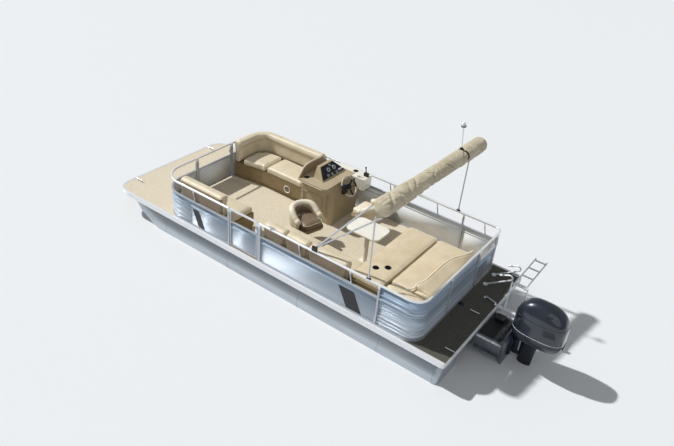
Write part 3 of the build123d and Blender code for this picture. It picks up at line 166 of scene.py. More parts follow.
def make_materials():
    """Every finish of the boat, by its short name."""
    finish = {}

    # Mill-finish aluminium plate, rolled into the floats: satin, with a faint blue cast and long rolling streaks
    finish["float"] = metal("mill_aluminium", "#C4CBD1", 0.38, 0.15, (0.15, 1.0, 1.0), "#B2BAC2", 0.7)
    # Extruded aluminium, drawn along its length and clear anodised: a painted highlight makes the top rail brighter,
    # and painted shade makes the posts below it duller
    finish["rail"] = metal("anodised_aluminium", "#E6E9EB", 0.3, 0.05, metallic=0.45)
    by_height(finish["rail"], 1.10, 1.13, "#B4BAC1", "#EFF1F2")
    # The same extrusion left unpolished, for the folding top's arms and braces
    finish["brace"] = metal("satin_aluminium", "#C3C8CD", 0.4, 0.05, metallic=0.6)
    # Extruded aluminium trim round the deck, polished by the die: brighter than the sheet
    finish["trim"] = metal("aluminium_trim", "#EEF0F2", 0.3, 0.05, metallic=0.4)
    # Aluminium structure under the deck, left as it came from the mill, with handling marks: its darker grey is painted
    # shade, for the motor pod's sides that lie in shade
    finish["structure"] = metal("structure_aluminium_painted_shade", "#8B9199", 0.45, 0.2, (1.0, 0.3, 1.0), "#777D85", 0.8)
    # Chromed zinc fittings: mirror bright
    finish["chrome"] = metal("chrome_plate", "#E6E8EA", 0.1)

    # Coil-coated aluminium sheet, metallic silver-blue enamel: a soft sheen, and a painted reflection of the sky that
    # runs from pale at the foot to blue at the top
    finish["sheet"] = surface("metallic_enamel_sheet", "#A4B6C8", Metallic=0.35, Roughness=0.46, Coat_Weight=0.15,
                              Coat_Roughness=0.3)
    by_height(finish["sheet"], 0.5, 0.94, "#CBD3DB", "#98ABBE")
    # The back of the same sheet, seen from the cockpit: pale grey enamel
    finish["sheet_back"] = surface("grey_enamel_sheet", "#E3E5E5", (2.0, "#DEE0E0", "#E8EAEA", 2.0), Roughness=0.5)
    # Black vinyl film, cut into plain slanted stripes
    finish["film"] = surface("black_vinyl_film", "#15171B", Roughness=0.35)

    # Woven-look vinyl flooring: sand yarns of about 4 mm, drawn at 9 mm to show, with paler flecks
    made, tree, shader, place = new_material("woven_vinyl_floor", "#CFC3AC", Roughness=0.78)
    weave = add_node(tree, "ShaderNodeTexVoronoi", Vector=place, Scale=110.0)
    tone = mottle(tree, shader, place, 60.0, "#C4B79E", "#DACFBA", 8.0)
    broad = add_node(tree, "ShaderNodeTexNoise", Vector=place, Scale=1.2, Detail=2.0)
    shade = add_node(tree, "ShaderNodeMapRange", Value=broad.outputs["Fac"], i3=0.96, i4=1.03)
    mixed = add_node(tree, "ShaderNodeVectorMath", {"operation": "SCALE"}, i0=tone, Scale=shade.outputs["Result"])
    tree.links.new(mixed.outputs["Vector"], shader.inputs["Base Color"])
    bump(tree, shader, weave.outputs["Distance"], 0.35, 0.002)
    finish["floor"] = made
    # Needle-punched marine carpet: dark olive grey, matt, with a 6 mm pile tuft
    finish["carpet"] = surface("marine_carpet", "#494940", (90.0, "#3B3B33", "#57564B", 8.0), (3.0, 240.0, 0.8, 0.004),
                               Roughness=0.96, Sheen_Weight=0.15, Sheen_Roughness=0.5)

    # Sewn marine vinyl: beige, leather grain of about 2 mm drawn at 5 mm, a low satin sheen; the brown and umber copies
    # are painted shade, for faces that lie in shade
    for key, name, low, high in (("vinyl", "marine_vinyl_beige", "#CCBFA3", "#D6CAB0"),
                                 ("vinyl_painted_shade", "marine_vinyl_painted_shade", "#84725A", "#927F65"),
                                 ("vinyl_painted_deep_shade", "marine_vinyl_painted_deep_shade", "#6B5A45", "#77664F"),
                                 ("vinyl_deck", "marine_vinyl_sand", "#C8B899", "#D3C4A7"),
                                 ("vinyl_pale", "marine_vinyl_cream", "#DED2B8", "#E9E0CC")):
        finish[key] = surface(name, low, (5.0, low, high, 3.0), (None, 200.0, 0.25, 0.0012), (12.0, 0.38, 0.52),
                              Roughness=0.45, Sheen_Weight=0.12, Sheen_Roughness=0.4)
    # Rotationally moulded polyethylene, the seat bases and the console: matt tan with a fine orange peel; the cream
    # copy is also a painted highlight, on the ledge over the console's door
    for key, name, low, high in (("moulding", "moulded_polyethylene_tan", "#A59577", "#B0A184"),
                                 ("moulding_pale", "moulded_polyethylene_cream_and_painted_highlight", "#CBBFA6", "#D6CBB4"),
                                 ("moulding_dark", "moulded_polyethylene_brown", "#84714F", "#907D5B")):
        finish[key] = surface(name, low, (3.0, low, high, 3.0), (2.0, 160.0, 0.25, 0.001), Roughness=0.55)
    # Gel-coated fibreglass, off-white: glossy with a slight waviness
    finish["gelcoat"] = surface("gelcoat_white", "#E8E4D8", (4.0, "#E2DED0", "#EDE9DE", 2.0), Roughness=0.25,
                                Coat_Weight=0.5, Coat_Roughness=0.08)
    # Injection-moulded ABS, black: satin, with a fine spark-eroded texture
    finish["black"] = surface("abs_black", "#141517", grain=(2.0, 500.0, 0.3, 0.0005), Roughness=0.45)
    # Instrument faces behind clear plastic: near black under a gloss coat
    finish["dial"] = surface("dial_face", "#20252E", Roughness=0.2, Coat_Weight=1.0)
    # Nitrile or EPDM rubber: black, matt
    finish["rubber"] = surface("rubber_black", "#1B1B1C", Roughness=0.7)

    # Metallic automotive-type enamel under clear coat on the cowl: dark blue-grey, very glossy
    finish["cowl"] = surface("cowl_enamel", "#232B37", (8.0, "#202733", "#28313E", 2.0), Metallic=0.5, Roughness=0.30,
                             Coat_Weight=1.0, Coat_Roughness=0.05)
    # The same enamel on castings: duller, over a cast surface
    finish["casting"] = surface("casting_enamel", "#20262F", grain=(3.0, 90.0, 0.2, 0.001), Metallic=0.3,
                                Roughness=0.36)

    # Solution-dyed acrylic canvas, plain weave of 0.5 mm drawn at 4 mm to show, with a broad mottle of two tones
    made, tree, shader, place = new_material("acrylic_canvas", "#BDB298", Roughness=0.9, Sheen_Weight=0.15,
                                             Sheen_Roughness=0.6)
    mottle(tree, shader, place, 5.0, "#B5AA8F", "#C8BEA5", 4.0)
    warp = add_node(tree, "ShaderNodeTexWave", {"bands_direction": "X"}, Vector=place, Scale=78.0)
    weft = add_node(tree, "ShaderNodeTexWave", {"bands_direction": "Z"}, Vector=place, Scale=78.0)
    cloth = add_node(tree, "ShaderNodeMath", {"operation": "ADD"}, i0=warp.outputs["Fac"], i1=weft.outputs["Fac"])
    # creases across the folded cloth, stretched round the roll, drawn some 30 mm apart
    stretch = add_node(tree, "ShaderNodeMapping", Vector=place, Scale=(4.0, 16.0, 4.0))
    crease = add_node(tree, "ShaderNodeTexNoise", Vector=stretch.outputs["Vector"], Scale=1.4, Detail=3.0)
    height = add_node(tree, "ShaderNodeMath", {"operation": "MULTIPLY_ADD"}, i0=cloth.outputs["Value"], i1=0.03,
                      i2=crease.outputs["Fac"])
    bump(tree, shader, height.outputs["Value"], 0.8, 0.035)
    finish["canvas"] = made
    # Polyester webbing, woven flat: dark brown, ribs of 1.5 mm drawn at 4 mm
    made, tree, shader, place = new_material("polyester_webbing", "#3A3128", Roughness=0.85)
    rib = add_node(tree, "ShaderNodeTexWave", {"bands_direction": "Z"}, Vector=place, Scale=78.0)
    bump(tree, shader, rib.outputs["Fac"], 0.4, 0.001)
    finish["webbing"] = made
    # Extruded vinyl welt, cream: smooth, a shade lighter than the panels it joins
    finish["piping"] = surface("vinyl_welt_cream", "#DDD0B4", (14.0, "#D6C8AB", "#E3D8BF", 2.0), Roughness=0.4)
    # Perforated steel behind a speaker's grille: dark, 3 mm holes drawn at 8 mm
    made, tree, shader, place = new_material("perforated_steel", "#6B6256", Roughness=0.5, Metallic=0.2)
    holes = add_node(tree, "ShaderNodeTexVoronoi", Vector=place, Scale=125.0)
    two_tones(tree, shader, holes.outputs["Distance"], 0.25, 0.4, "#2A251F", "#857A69")
    finish["mesh"] = made
    # Satin chrome bezels, a printed off-white scale, and a foam grip that is a warm grey
    finish["bezel"] = metal("satin_chrome", "#C9CCD2", 0.22)
    finish["scale"] = surface("printed_scale", "#D8DCE2", (60.0, "#CDD2D9", "#E1E4E8", 2.0), Roughness=0.4)
    finish["grip"] = surface("foam_grip", "#B7AE9E", grain=(2.0, 400.0, 0.3, 0.0008), Roughness=0.6)
    # Aluminium weld bead: ripples of 3 mm drawn at 6 mm, a little duller than the plate
    finish["weld"] = surface("weld_aluminium", "#A9B1BB", grain=(2.0, 170.0, 0.6, 0.002), Metallic=1.0,
                             Roughness=0.45)
    # Frosted polycarbonate lens of the anchor light
    finish["lens"] = surface("polycarbonate_lens", "#F2F2EE", Roughness=0.3, Transmission_Weight=0.3)
    return finish


def paint(obj, material):
    """Gives every face of an object one material."""
    obj.data.materials.clear()
    obj.data.materials.append(material)


# Surfaces

def put(name, points, faces, finish, body, smooth=True):
    """A mesh of points and faces as a piece that rides on a body."""
    mesh = bpy.data.meshes.new(name)
    mesh.from_pydata(np.asarray(points, float).reshape(-1, 3).tolist(), [], [list(map(int, f)) for f in faces])
    tidy = bmesh.new()
    tidy.from_mesh(mesh)
    bmesh.ops.remove_doubles(tidy, verts=tidy.verts, dist=1e-6)
    bmesh.ops.dissolve_degenerate(tidy, edges=tidy.edges, dist=1e-6)
    bmesh.ops.recalc_face_normals(tidy, faces=tidy.faces)
    tidy.to_mesh(mesh)
    tidy.free()
    mesh.update()
    if smooth:
        mesh.polygons.foreach_set("use_smooth", np.ones(len(mesh.polygons), bool))
    obj = bpy.data.objects.new(name, mesh)
    bpy.context.collection.objects.link(obj)
    paint(obj, FINISH[finish])
    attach(obj, body)
    return obj


def quads(rows, columns, wrap_rows=False, wrap_columns=False, start=0):
    """The faces between neighbouring points of a grid, row after row."""
    i = np.arange(rows if wrap_rows else rows - 1)[:, None]
    j = np.arange(columns if wrap_columns else columns - 1)[None, :]
    right, below = (j + 1) % columns, (i + 1) % rows
    corners = np.stack(np.broadcast_arrays(i * columns + j, below * columns + j, below * columns + right,
                                           i * columns + right), -1)
    return corners.reshape(-1, 4) + start


def turns(count):
    """Angles once round, evenly spaced."""
    return np.linspace(0, 2 * np.pi, count, endpoint=False)


def squircle(angle, power):
    """A superellipse's two coordinates: the cosine and the sine to a power, each with its own sign."""
    return [np.sign(part) * np.abs(part) ** power for part in (np.cos(angle), np.sin(angle))]


def line_of(x, y, z):
    """A line in space from its coordinates, any of which may be one number."""
    return np.column_stack(np.broadcast_arrays(x, y, z))


def distances(line):
    """How far along a line of straight runs each of its points is."""
    return np.r_[0, np.cumsum(np.linalg.norm(np.diff(line, axis=0), axis=1))]


def raised(plan, height):
    """A plan line at one height."""
    return np.column_stack([plan, np.full(len(plan), height)])


def looped(line):
    """A closed line with its first two points again at its end, so that a tube along it joins up."""
    return np.vstack([line, line[:2]])


def end_inset(steps, edge):
    """How far a stuffed bar is drawn in near its two ends: edge - sqrt(edge² - (edge - distance)²)."""
    near = np.minimum(np.minimum(steps, steps[-1] - steps), edge)
    return edge - np.sqrt(np.maximum(edge ** 2 - (edge - near) ** 2, 0))


def resample(points, count, closed=False):
    """Points spaced evenly by length along a line of straight runs."""
    points = np.asarray(points, float)
    if closed:
        points = np.vstack([points, points[:1]])
    steps = distances(points)
    wanted = np.linspace(0, steps[-1], count + closed)[:count]
    return np.stack([np.interp(wanted, steps, points[:, k]) for k in range(points.shape[1])], 1)


def arc(centre, radius, start, end, count=16):
    """Points on a circle's arc in plan, between two angles in degrees."""
    angle = np.radians(np.linspace(start, end, count))
    return np.stack([centre[0] + radius * np.cos(angle), centre[1] + radius * np.sin(angle)], 1)


def smooth_line(points, count, rounds=3):
    """A line of straight runs, its corners cut in turn at a quarter and three quarters, then resampled."""
    line = np.asarray(points, float)
    for _ in range(rounds):
        a, b = line[:-1], line[1:]
        inner = np.stack([0.75 * a + 0.25 * b, 0.25 * a + 0.75 * b], 1).reshape(-1, line.shape[1])
        line = np.vstack([line[:1], inner, line[-1:]])
    return resample(line, count)


def along(path):
    """Unit tangents and left-hand normals of a plan path."""
    tangent = np.gradient(path, axis=0)
    tangent /= np.linalg.norm(tangent, axis=1)[:, None]
    return tangent, np.stack([-tangent[:, 1], tangent[:, 0]], 1)


def tube_grid(path, radius, sides=10):
    """Rings of one radius round a path in space, each square to it: centre + r (cos a · side + sin a · up)."""
    path = np.asarray(path, float)
    tangent = np.gradient(path, axis=0)
    tangent /= np.linalg.norm(tangent, axis=1)[:, None]
    rough = np.where(np.abs(tangent[:, 2:3]) > 0.9, [[1.0, 0, 0]], [[0, 0, 1.0]])
    side = np.cross(tangent, rough)
    side /= np.linalg.norm(side, axis=1)[:, None]
    up = np.cross(side, tangent)
    angle = turns(sides)
    ring = np.cos(angle)[None, :, None] * side[:, None] + np.sin(angle)[None, :, None] * up[:, None]
    return path[:, None] + np.asarray(radius, float).reshape(-1, 1, 1) * ring


def closed_piece(name, grid, finish, body):
    """A grid of rings as a piece, its two ends closed by a fan."""
    rows, columns = grid.shape[:2]
    points = np.vstack([grid.reshape(-1, 3), grid[0].mean(0), grid[-1].mean(0)])
    faces = quads(rows, columns, False, True).tolist()
    step = np.arange(columns)
    turn = (step + 1) % columns
    first, last = rows * columns, rows * columns + 1
    faces += np.stack([np.full(columns, first), step, turn], 1).tolist()
    base = (rows - 1) * columns
    faces += np.stack([np.full(columns, last), base + turn, base + step], 1).tolist()
    return put(name, points, faces, finish, body)


def tube(name, path, radius, finish, body, sides=10):
    """A round bar, cord or piping along a path in space."""
    return closed_piece(name, tube_grid(path, radius, sides), finish, body)


def pad_grid(path, width, low, high, edge, square, sides):
    """A cushion's surface: a superellipse across a plan path, half width · cos^q a beside half height · sin^q a,
    drawn in by a quarter circle of the edge's radius at both ends."""
    path = np.asarray(path, float)
    count = len(path)
    width, low, high = (np.broadcast_to(np.asarray(v, float), (count,)) for v in (width, low, high))
    inset = end_inset(distances(path), edge)
    half = np.maximum(width / 2 - inset, 0.002)[:, None]
    tall = np.maximum((high - low) / 2 - inset, 0.002)[:, None]
    across, upward = squircle(turns(sides)[None, :], square)
    _, normal = along(path)
    height = ((low + high) / 2)[:, None] + tall * upward
    plan = path[:, None] + normal[:, None] * (half * across)[..., None]
    return np.concatenate([plan, height[..., None]], 2)


def even_ends(path, edge):
    """A plan path with extra points near its ends, where a pad's edges turn."""
    path = np.asarray(path, float)
    steps = distances(path)
    near = edge * (1 - np.cos(np.linspace(0, np.pi / 2, END_ROWS)))
    wanted = np.unique(np.r_[near, steps[(steps > edge) & (steps < steps[-1] - edge)], steps[-1] - near])
    return np.stack([np.interp(wanted, steps, path[:, k]) for k in (0, 1)], 1)


# Values that a user would change

class BoatSettings(bpy.types.PropertyGroup):
    floor_size: FloatProperty(name="Floor size", description="Width of the studio floor", default=120.0, unit="LENGTH")
    sheet_stand: FloatProperty(name="Sheet stand-off", description="How far the painted sheet stands off the CAD panel",
                               default=0.0012, unit="LENGTH")
    bead_height: FloatProperty(name="Bead height", description="How far a pressed bead stands out of the sheet",
                               default=0.010, unit="LENGTH")
    piping: FloatProperty(name="Piping", description="Radius of the welt along the cushions' edges", default=0.006,
                          unit="LENGTH")
    swell: FloatProperty(name="Swell", description="How far a cushion's skin may swell when it is filled",
                         default=0.011, unit="LENGTH")
    fold_depth: FloatProperty(name="Fold depth", description="Depth of the folds in the canvas roll", default=0.020,
                              unit="LENGTH")


FINISH = {}


def settings():
    """The user's values."""
    return bpy.context.scene.boat_settings


class BOAT_OT_stage(bpy.types.Operator):
    """Floor at the waterline, sunlight and the camera"""
    bl_idname = "boat.stage"
    bl_label = "Stage"

    def execute(self, context):
        scene = context.scene
        scene.view_settings.view_transform = "Standard"
        size = settings().floor_size / 2
        mesh = bpy.data.meshes.new("floor")
        mesh.from_pydata([(-size, -size, 0), (size, -size, 0), (size, size, 0), (-size, size, 0)], [], [(0, 1, 2, 3)])
        floor = bpy.data.objects.new("floor", mesh)
        context.collection.objects.link(floor)
        paint(floor, surface("floor_paper", "#DADCDD", Roughness=0.9))

        world = bpy.data.worlds.new("studio")
        scene.world = world
        world.use_nodes = True
        tree = world.node_tree
        tree.nodes.clear()
        rays = tree.nodes.new("ShaderNodeLightPath")
        seen = add_node(tree, "ShaderNodeMath", {"operation": "MAXIMUM"}, i0=rays.outputs["Is Camera Ray"],
                        i1=rays.outputs["Is Transmission Ray"])
        lit = add_node(tree, "ShaderNodeBackground", Color=linear("#F1F5FB"), Strength=0.30)
        shown = add_node(tree, "ShaderNodeBackground", Color=linear("#EEF0F2"), Strength=1.0)
        mix = add_node(tree, "ShaderNodeMixShader", Fac=seen.outputs[0], i1=lit.outputs[0], i2=shown.outputs[0])
        add_node(tree, "ShaderNodeOutputWorld", Surface=mix.outputs[0])

        # name, strength, angle of the disc, elevation, azimuth that the light comes from
        for name, strength, spread, elevation, azimuth in (("key", 3.6, 1.6, 47.0, 12.0),
                                                           ("fill", 0.42, 60.0, 40.0, 130.0)):
            lamp = bpy.data.lights.new(name, "SUN")
            lamp.energy = strength
            lamp.angle = math.radians(spread)
            holder = bpy.data.objects.new(name, lamp)
            context.collection.objects.link(holder)
            holder.rotation_euler = (0, math.radians(90 - elevation), math.radians(azimuth))

        # the camera that was solved for the photograph: focal length and picture width in pixels, sensor in mm
        focal, wide, sensor = 656.88, 674, 36
        lens = bpy.data.cameras.new("camera")
        lens.lens = focal / wide * sensor
        lens.clip_end = 400
        camera = bpy.data.objects.new("camera", lens)
        context.collection.objects.link(camera)
        right, down, ahead = ((-0.798173, -0.597761, 0.074843), (-0.377871, 0.400015, -0.834986),
                              (0.469184, -0.694744, -0.545158))
        turn = Matrix([[right[k], -down[k], -ahead[k]] for k in range(3)])
        camera.matrix_world = Matrix.Translation((-5.64137, 7.454809, 6.700136)) @ turn.to_4x4()
        scene.camera = camera
        return {"FINISHED"}


class BOAT_OT_finishes(bpy.types.Operator):
    """Finishes of every solid that keeps its shape"""
    bl_idname = "boat.finishes"
    bl_label = "Finishes"

    def execute(self, context):
        FINISH.update(make_materials())
        plain = {
            "float": ("tube_port", "tube_starboard"),
            "rail": ("fence_port_fwd", "fence_port_aft", "fence_starboard", "fence_stern", "bow_gate", "side_gate",
                     "stern_gate", "anchor_light", "seat_pedestals"),
            "brace": ("bimini_arms", "brace_port", "brace_starboard"),
            "trim": ("edge_trim", "ladder", "ladder_bracket", "grab_handles"),
            # the motor pod's darker grey is painted shade
            "structure": ("underframe", "motor_pod"),
            "chrome": ("deck_fittings",),
            "floor": ("deck",),
            "carpet": ("aft_deck",),
            "moulding": ("console", "console_door"),
            "moulding_dark": ("lounge_starboard_base", "lounge_port_base", "lounge_mid_base", "sundeck_base"),
            "gelcoat": ("helm_shelf", "table"),
            "black": ("dash", "helm_column", "steering_wheel", "rail_mounts"),
            "casting": ("transom_clamp", "swivel_bracket", "engine_leg", "propeller"),
            "cowl": ("engine_cowl",),
            "vinyl": ("lounge_starboard_seat", "lounge_starboard_back", "lounge_port_seat", "lounge_port_back",
                      "lounge_mid_seat", "lounge_mid_back", "sundeck_front_pad", "sundeck_pad"),
            "vinyl_pale": ("helm_seat", "companion_seat"),
            "canvas": ("bimini_boot",),
        }
        for key, nodes in plain.items():
            for name in nodes:
                paint(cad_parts[name], FINISH[key])
        return {"FINISHED"}


def sheet_piece(name, path, low, high, side, beads, body):
    """Painted sheet along a plan path: a grid of the path by the height, each bead a raised half round,
    out = stand-off + height · sqrt(1 − ((z − bead) / 9 mm)²). It starts 2 mm out, where the CAD panel ends."""
    path = np.asarray(path, float)
    _, normal = along(path)
    half, panel = 0.009, 0.002
    steps = (-half, -0.007, -0.004, 0, 0.004, 0.007, half)
    z = np.unique(np.r_[low, high, [b + d for b in beads for d in steps]])
    z = z[(z >= low) & (z <= high)]
    out = np.full(len(z), settings().sheet_stand + panel)
    for b in beads:
        out += settings().bead_height * np.sqrt(np.maximum(1 - ((z - b) / half) ** 2, 0))
    grid = np.zeros((len(path), len(z), 3))
    grid[..., :2] = path[:, None] + side * normal[:, None] * out[None, :, None]
    grid[..., 2] = z[None, :]
    inner = grid.copy()
    inner[..., :2] = path[:, None] + side * normal[:, None] * (panel + 0.0001)
    points = np.vstack([grid.reshape(-1, 3), inner.reshape(-1, 3)])
    n, m = len(path), len(z)
    faces = quads(n, m).tolist() + quads(n, m, start=n * m)[:, ::-1].tolist()
    rim = [i * m for i in range(n)] + [(n - 1) * m + j for j in range(1, m)]
    rim += [i * m + m - 1 for i in range(n - 2, -1, -1)] + [j for j in range(m - 2, 0, -1)]
    faces += [(a, b, b + n * m, a + n * m) for a, b in zip(rim, rim[1:] + rim[:1])]
    return put(name, points, faces, "sheet", body)


class BOAT_OT_sheets(bpy.types.Operator):
    """Painted sheets of the fence and the gates, with their pressed beads and black stripes"""
    bl_idname = "boat.sheets"
    bl_label = "Fence sheets"

    def execute(self, context):
        low, mid = DECK + 0.028, DECK + 0.464
        top = DECK + 0.682
        s, f, a = FENCE_SIDE, FENCE_FRONT, FENCE_STERN
        bow = arc((f - 0.38, s - 0.38), 0.38, 0, 90)
        flip = np.array([1, -1])
        line = (0.375,)
        ribs = (0.066, 0.156, 0.246, 0.336)
        runs = [
            # name, path, top, beads, body
            ("sheet_port_bow", np.vstack([[(f, 0.494)], bow, [(1.48, s)]]), mid, ribs + line, "hull"),
            ("sheet_port_fwd", [(1.48, s), (0.634, s)], mid, line, "hull"),
            ("sheet_port_mid", [(-0.066, s), (-2.222, s)], mid, line, "hull"),
            ("sheet_starboard_bow", np.vstack([[(f, -0.424)], bow * flip, [(1.48, -s)]]), mid, ribs + line, "hull"),
            ("sheet_starboard_second", [(1.48, -s), (0.62, -s)], mid, line, "hull"),
            ("sheet_starboard_fwd", [(0.58, -s), (-0.88, -s)], mid, line, "hull"),
            ("sheet_starboard_mid", [(-0.92, -s), (-2.22, -s)], mid, line, "hull"),
            ("sheet_starboard_aft", [(-2.26, -s), (a + 0.13, -s)], mid, ribs + line, "hull"),
            ("sheet_stern", np.vstack([[(-2.26, s)], arc((a + 0.22, s - 0.22), 0.22, 90, 180), [(a, -0.445)]]), top,
             (0.07, 0.13, 0.19, 0.44, 0.49, 0.56), "hull"),
            ("sheet_bow_gate", [(f, 0.424), (f, -0.354)], mid, line, "bow_gate"),
            ("sheet_side_gate", [(0.564, s), (0.036, s)], mid, line, "side_gate"),
            ("sheet_stern_gate", [(a, -1.049), (a, -0.516)], mid, line, "stern_gate"),
        ]
        centre = np.array([-0.3, 0.0])
        for name, path, high, beads, body in runs:
            path = np.asarray(path, float)
            _, normal = along(path)
            middle = len(path) // 2
            side = 1.0 if normal[middle] @ (path[middle] - centre) > 0 else -1.0
            sheet_piece(name, path, low, high, side, [DECK + b for b in beads], body)
            back = sheet_piece(name + "_back", path, low, high, -side, (), body)
            paint(back, FINISH["sheet_back"])

        # each stripe: the X of its top and bottom edges, then the heights of top and bottom over the deck
        for number, (top_x, foot_x, high, foot) in enumerate((((1.445, 1.30), (1.32, 1.17), 0.335, 0.030),
                                                              ((-1.565, -1.84), (-1.73, -2.00), 0.36, 0.030))):
            for side, word in SIDES:
                y = side * (s + 0.0042)
                back = side * (s + 0.0034)
                corners = [(top_x[0], high), (top_x[1], high), (foot_x[1], foot), (foot_x[0], foot)]
                points = [(x, y, DECK + z) for x, z in corners] + [(x, back, DECK + z) for x, z in corners]
                faces = [(0, 1, 2, 3), (7, 6, 5, 4)] + [(i, (i + 1) % 4, (i + 1) % 4 + 4, i + 4) for i in range(4)]
                put(f"stripe_{word}_{number + 1}", points, faces, "film", "hull", False)
        return {"FINISHED"}


# Stuffed pieces

def round_corners(points, radius, count, closed=True):
    """A plan line of straight runs whose corners become parabolas: (1 - t)² a + 2 t (1 - t) corner + t² b."""
    points = np.asarray(points, float)
    radii = np.broadcast_to(np.asarray(radius, float), (len(points),))
    before, after = np.roll(points, 1, 0), np.roll(points, -1, 0)
    into, out = points - before, after - points
    into_length, out_length = np.linalg.norm(into, axis=1), np.linalg.norm(out, axis=1)
    into, out = into / into_length[:, None], out / out_length[:, None]
    turn = np.arctan2(into[:, 0] * out[:, 1] - into[:, 1] * out[:, 0], (into * out).sum(1))
    reach = np.minimum(radii * np.tan(np.abs(turn) / 2), 0.5 * np.minimum(into_length, out_length))[:, None]
    t = np.linspace(0, 1, 9)[None, :, None]
    a, b = (points - into * reach)[:, None], (points + out * reach)[:, None]
    bends = (1 - t) ** 2 * a + 2 * t * (1 - t) * points[:, None] + t ** 2 * b
    if closed:
        return resample(bends.reshape(-1, 2), count, True)
    return resample(np.vstack([points[:1], bends[1:-1].reshape(-1, 2), points[-1:]]), count)


def inward(loop):
    """Unit normals of a closed plan line, towards its inside."""
    tangent = np.roll(loop, -1, 0) - np.roll(loop, 1, 0)
    tangent /= np.linalg.norm(tangent, axis=1)[:, None]
    turned = np.roll(loop, -1, 0)
    area = (loop[:, 0] * turned[:, 1] - turned[:, 0] * loop[:, 1]).sum()
    return np.sign(area) * np.stack([-tangent[:, 1], tangent[:, 0]], 1)


def nearest(points, line):
    """For each point, the nearest spot on a line of straight runs, and how far it is."""
    a, step = line[:-1], np.diff(line, axis=0)
    share = np.clip(((points[:, None] - a) * step).sum(-1) / (step * step).sum(-1), 0, 1)
    spot = a + share[..., None] * step
    far = np.linalg.norm(points[:, None] - spot, axis=-1)
    best = far.argmin(1)
    row = np.arange(len(points))
    return spot[row, best], far[row, best]


def pillow(outline, spine, low, high, top=0.04, foot=0.015, crown=0.012):
    """A stuffed pad over a plan, as rings that follow its outline. At its edges a ring is drawn in by r (1 - cos a)
    as it rises by r sin a. Over the flats it goes from the outline to the spine, where the top has risen by the
    crown times sin of 90 degrees times the share gone."""
    outline, spine = np.asarray(outline, float), np.asarray(spine, float)
    bend = np.radians(np.linspace(0, 90, 7))
    flat = np.array([0.08, 0.2, 0.4, 0.7, 1.0])
    inset = np.r_[np.full(4, foot), foot * (1 - np.sin(bend)), top * (1 - np.cos(bend)), np.full(5, top)]
    height = np.r_[np.full(4, low), low + foot * (1 - np.cos(bend)), high - top + top * np.sin(bend),
                   high + crown * np.sin(flat * np.pi / 2)]
    share = np.r_[1.0, 0.6, 0.3, 0.1, np.zeros(14), flat]
    normal = inward(outline)
    spot, _ = nearest(outline + normal * top, spine)
    plan = outline[None] + normal[None] * inset[:, None, None]
    plan = plan + (spot[None] - plan) * share[:, None, None]
    return np.concatenate([plan, np.broadcast_to(height[:, None, None], plan.shape[:2] + (1,))], 2)


def pillow_piece(name, outline, spine, low, high, finish, body, **shape):
    """The pillow's grid as a closed piece."""
    grid = pillow(outline, spine, low, high, **shape)
    rows, columns = grid.shape[:2]
    return put(name, grid, quads(rows, columns, False, True), finish, body)


def bolster(path, profile, edge=0.05):
    """A stuffed bar: a closed profile of (side, height), or one for each place, carried along a plan path, and drawn
    in towards its own middle over both ends."""
    path, profile = np.asarray(path, float), np.asarray(profile, float)
    inset = end_inset(distances(path), edge)
    middle = profile.mean(-2, keepdims=True)
    out = profile - middle
    scale = np.maximum(1 - inset[:, None] / np.linalg.norm(out, axis=-1), 0.02)
    shape = middle + out * scale[..., None]
    _, normal = along(path)
    plan = path[:, None] + normal[:, None] * shape[..., :1]
    return np.concatenate([plan, shape[..., 1:]], 2)


def rounded_profile(points, count=44, rounds=3):
    """A closed profile whose corners are cut in turn at a quarter and three quarters, then resampled."""
    line = np.asarray(points, float)
    for _ in range(rounds):
        ahead = np.roll(line, -1, 0)
        line = np.stack([0.75 * line + 0.25 * ahead, 0.25 * line + 0.75 * ahead], 1).reshape(-1, 2)
    return resample(line, count, True)


def corners_of(obj):
    """A mesh's vertices as an array."""
    flat = np.zeros(len(obj.data.vertices) * 3)
    obj.data.vertices.foreach_get("co", flat)
    return flat.reshape(-1, 3)


def set_corners(obj, points):
    """Puts an array back as a mesh's vertices."""
    obj.data.vertices.foreach_set("co", np.asarray(points, float).ravel())
    obj.data.update()


def apply_all(obj):
    """Applies an object's modifiers in order."""
    bpy.ops.object.select_all(action="DESELECT")
    bpy.context.view_layer.objects.active = obj
    obj.select_set(True)
    for modifier in list(obj.modifiers):
        bpy.ops.object.modifier_apply(modifier=modifier.name)


def stuff(obj, voxel, cap, floor=None):
    """Fills a cushion: remeshes it, runs a cloth simulation under pressure with no gravity, keeps each point within
    the cap of where it started and above the floor it rests on, and subdivides it once."""
    pressure, frames = 4.0, 12
    remesh = obj.modifiers.new("even", "REMESH")
    remesh.mode = "VOXEL"
    remesh.voxel_size = voxel
    remesh.use_smooth_shade = True
    apply_all(obj)
    start = corners_of(obj)
    cloth = obj.modifiers.new("fill", "CLOTH")
    cloth.settings.quality = 4
    cloth.settings.use_pressure = True
    cloth.settings.uniform_pressure_force = pressure
    cloth.settings.effector_weights.gravity = 0
    cloth.settings.tension_stiffness = 40
    cloth.settings.bending_stiffness = 2
    cloth.collision_settings.use_collision = False
    cloth.point_cache.frame_start = 1
    cloth.point_cache.frame_end = frames
    for number in range(1, frames + 1):
        bpy.context.scene.frame_set(number)
    apply_all(obj)
    move = corners_of(obj) - start
    length = np.linalg.norm(move, axis=1, keepdims=True)
    kept = start + move * np.minimum(1, cap / np.maximum(length, 1e-9))
    if floor is not None:
        kept[:, 2] = np.maximum(kept[:, 2], floor)
    set_corners(obj, kept)
    bpy.context.scene.frame_set(1)
    finer = obj.modifiers.new("finer", "SUBSURF")
    finer.levels = 1
    finer.render_levels = 1
    apply_all(obj)
    return obj


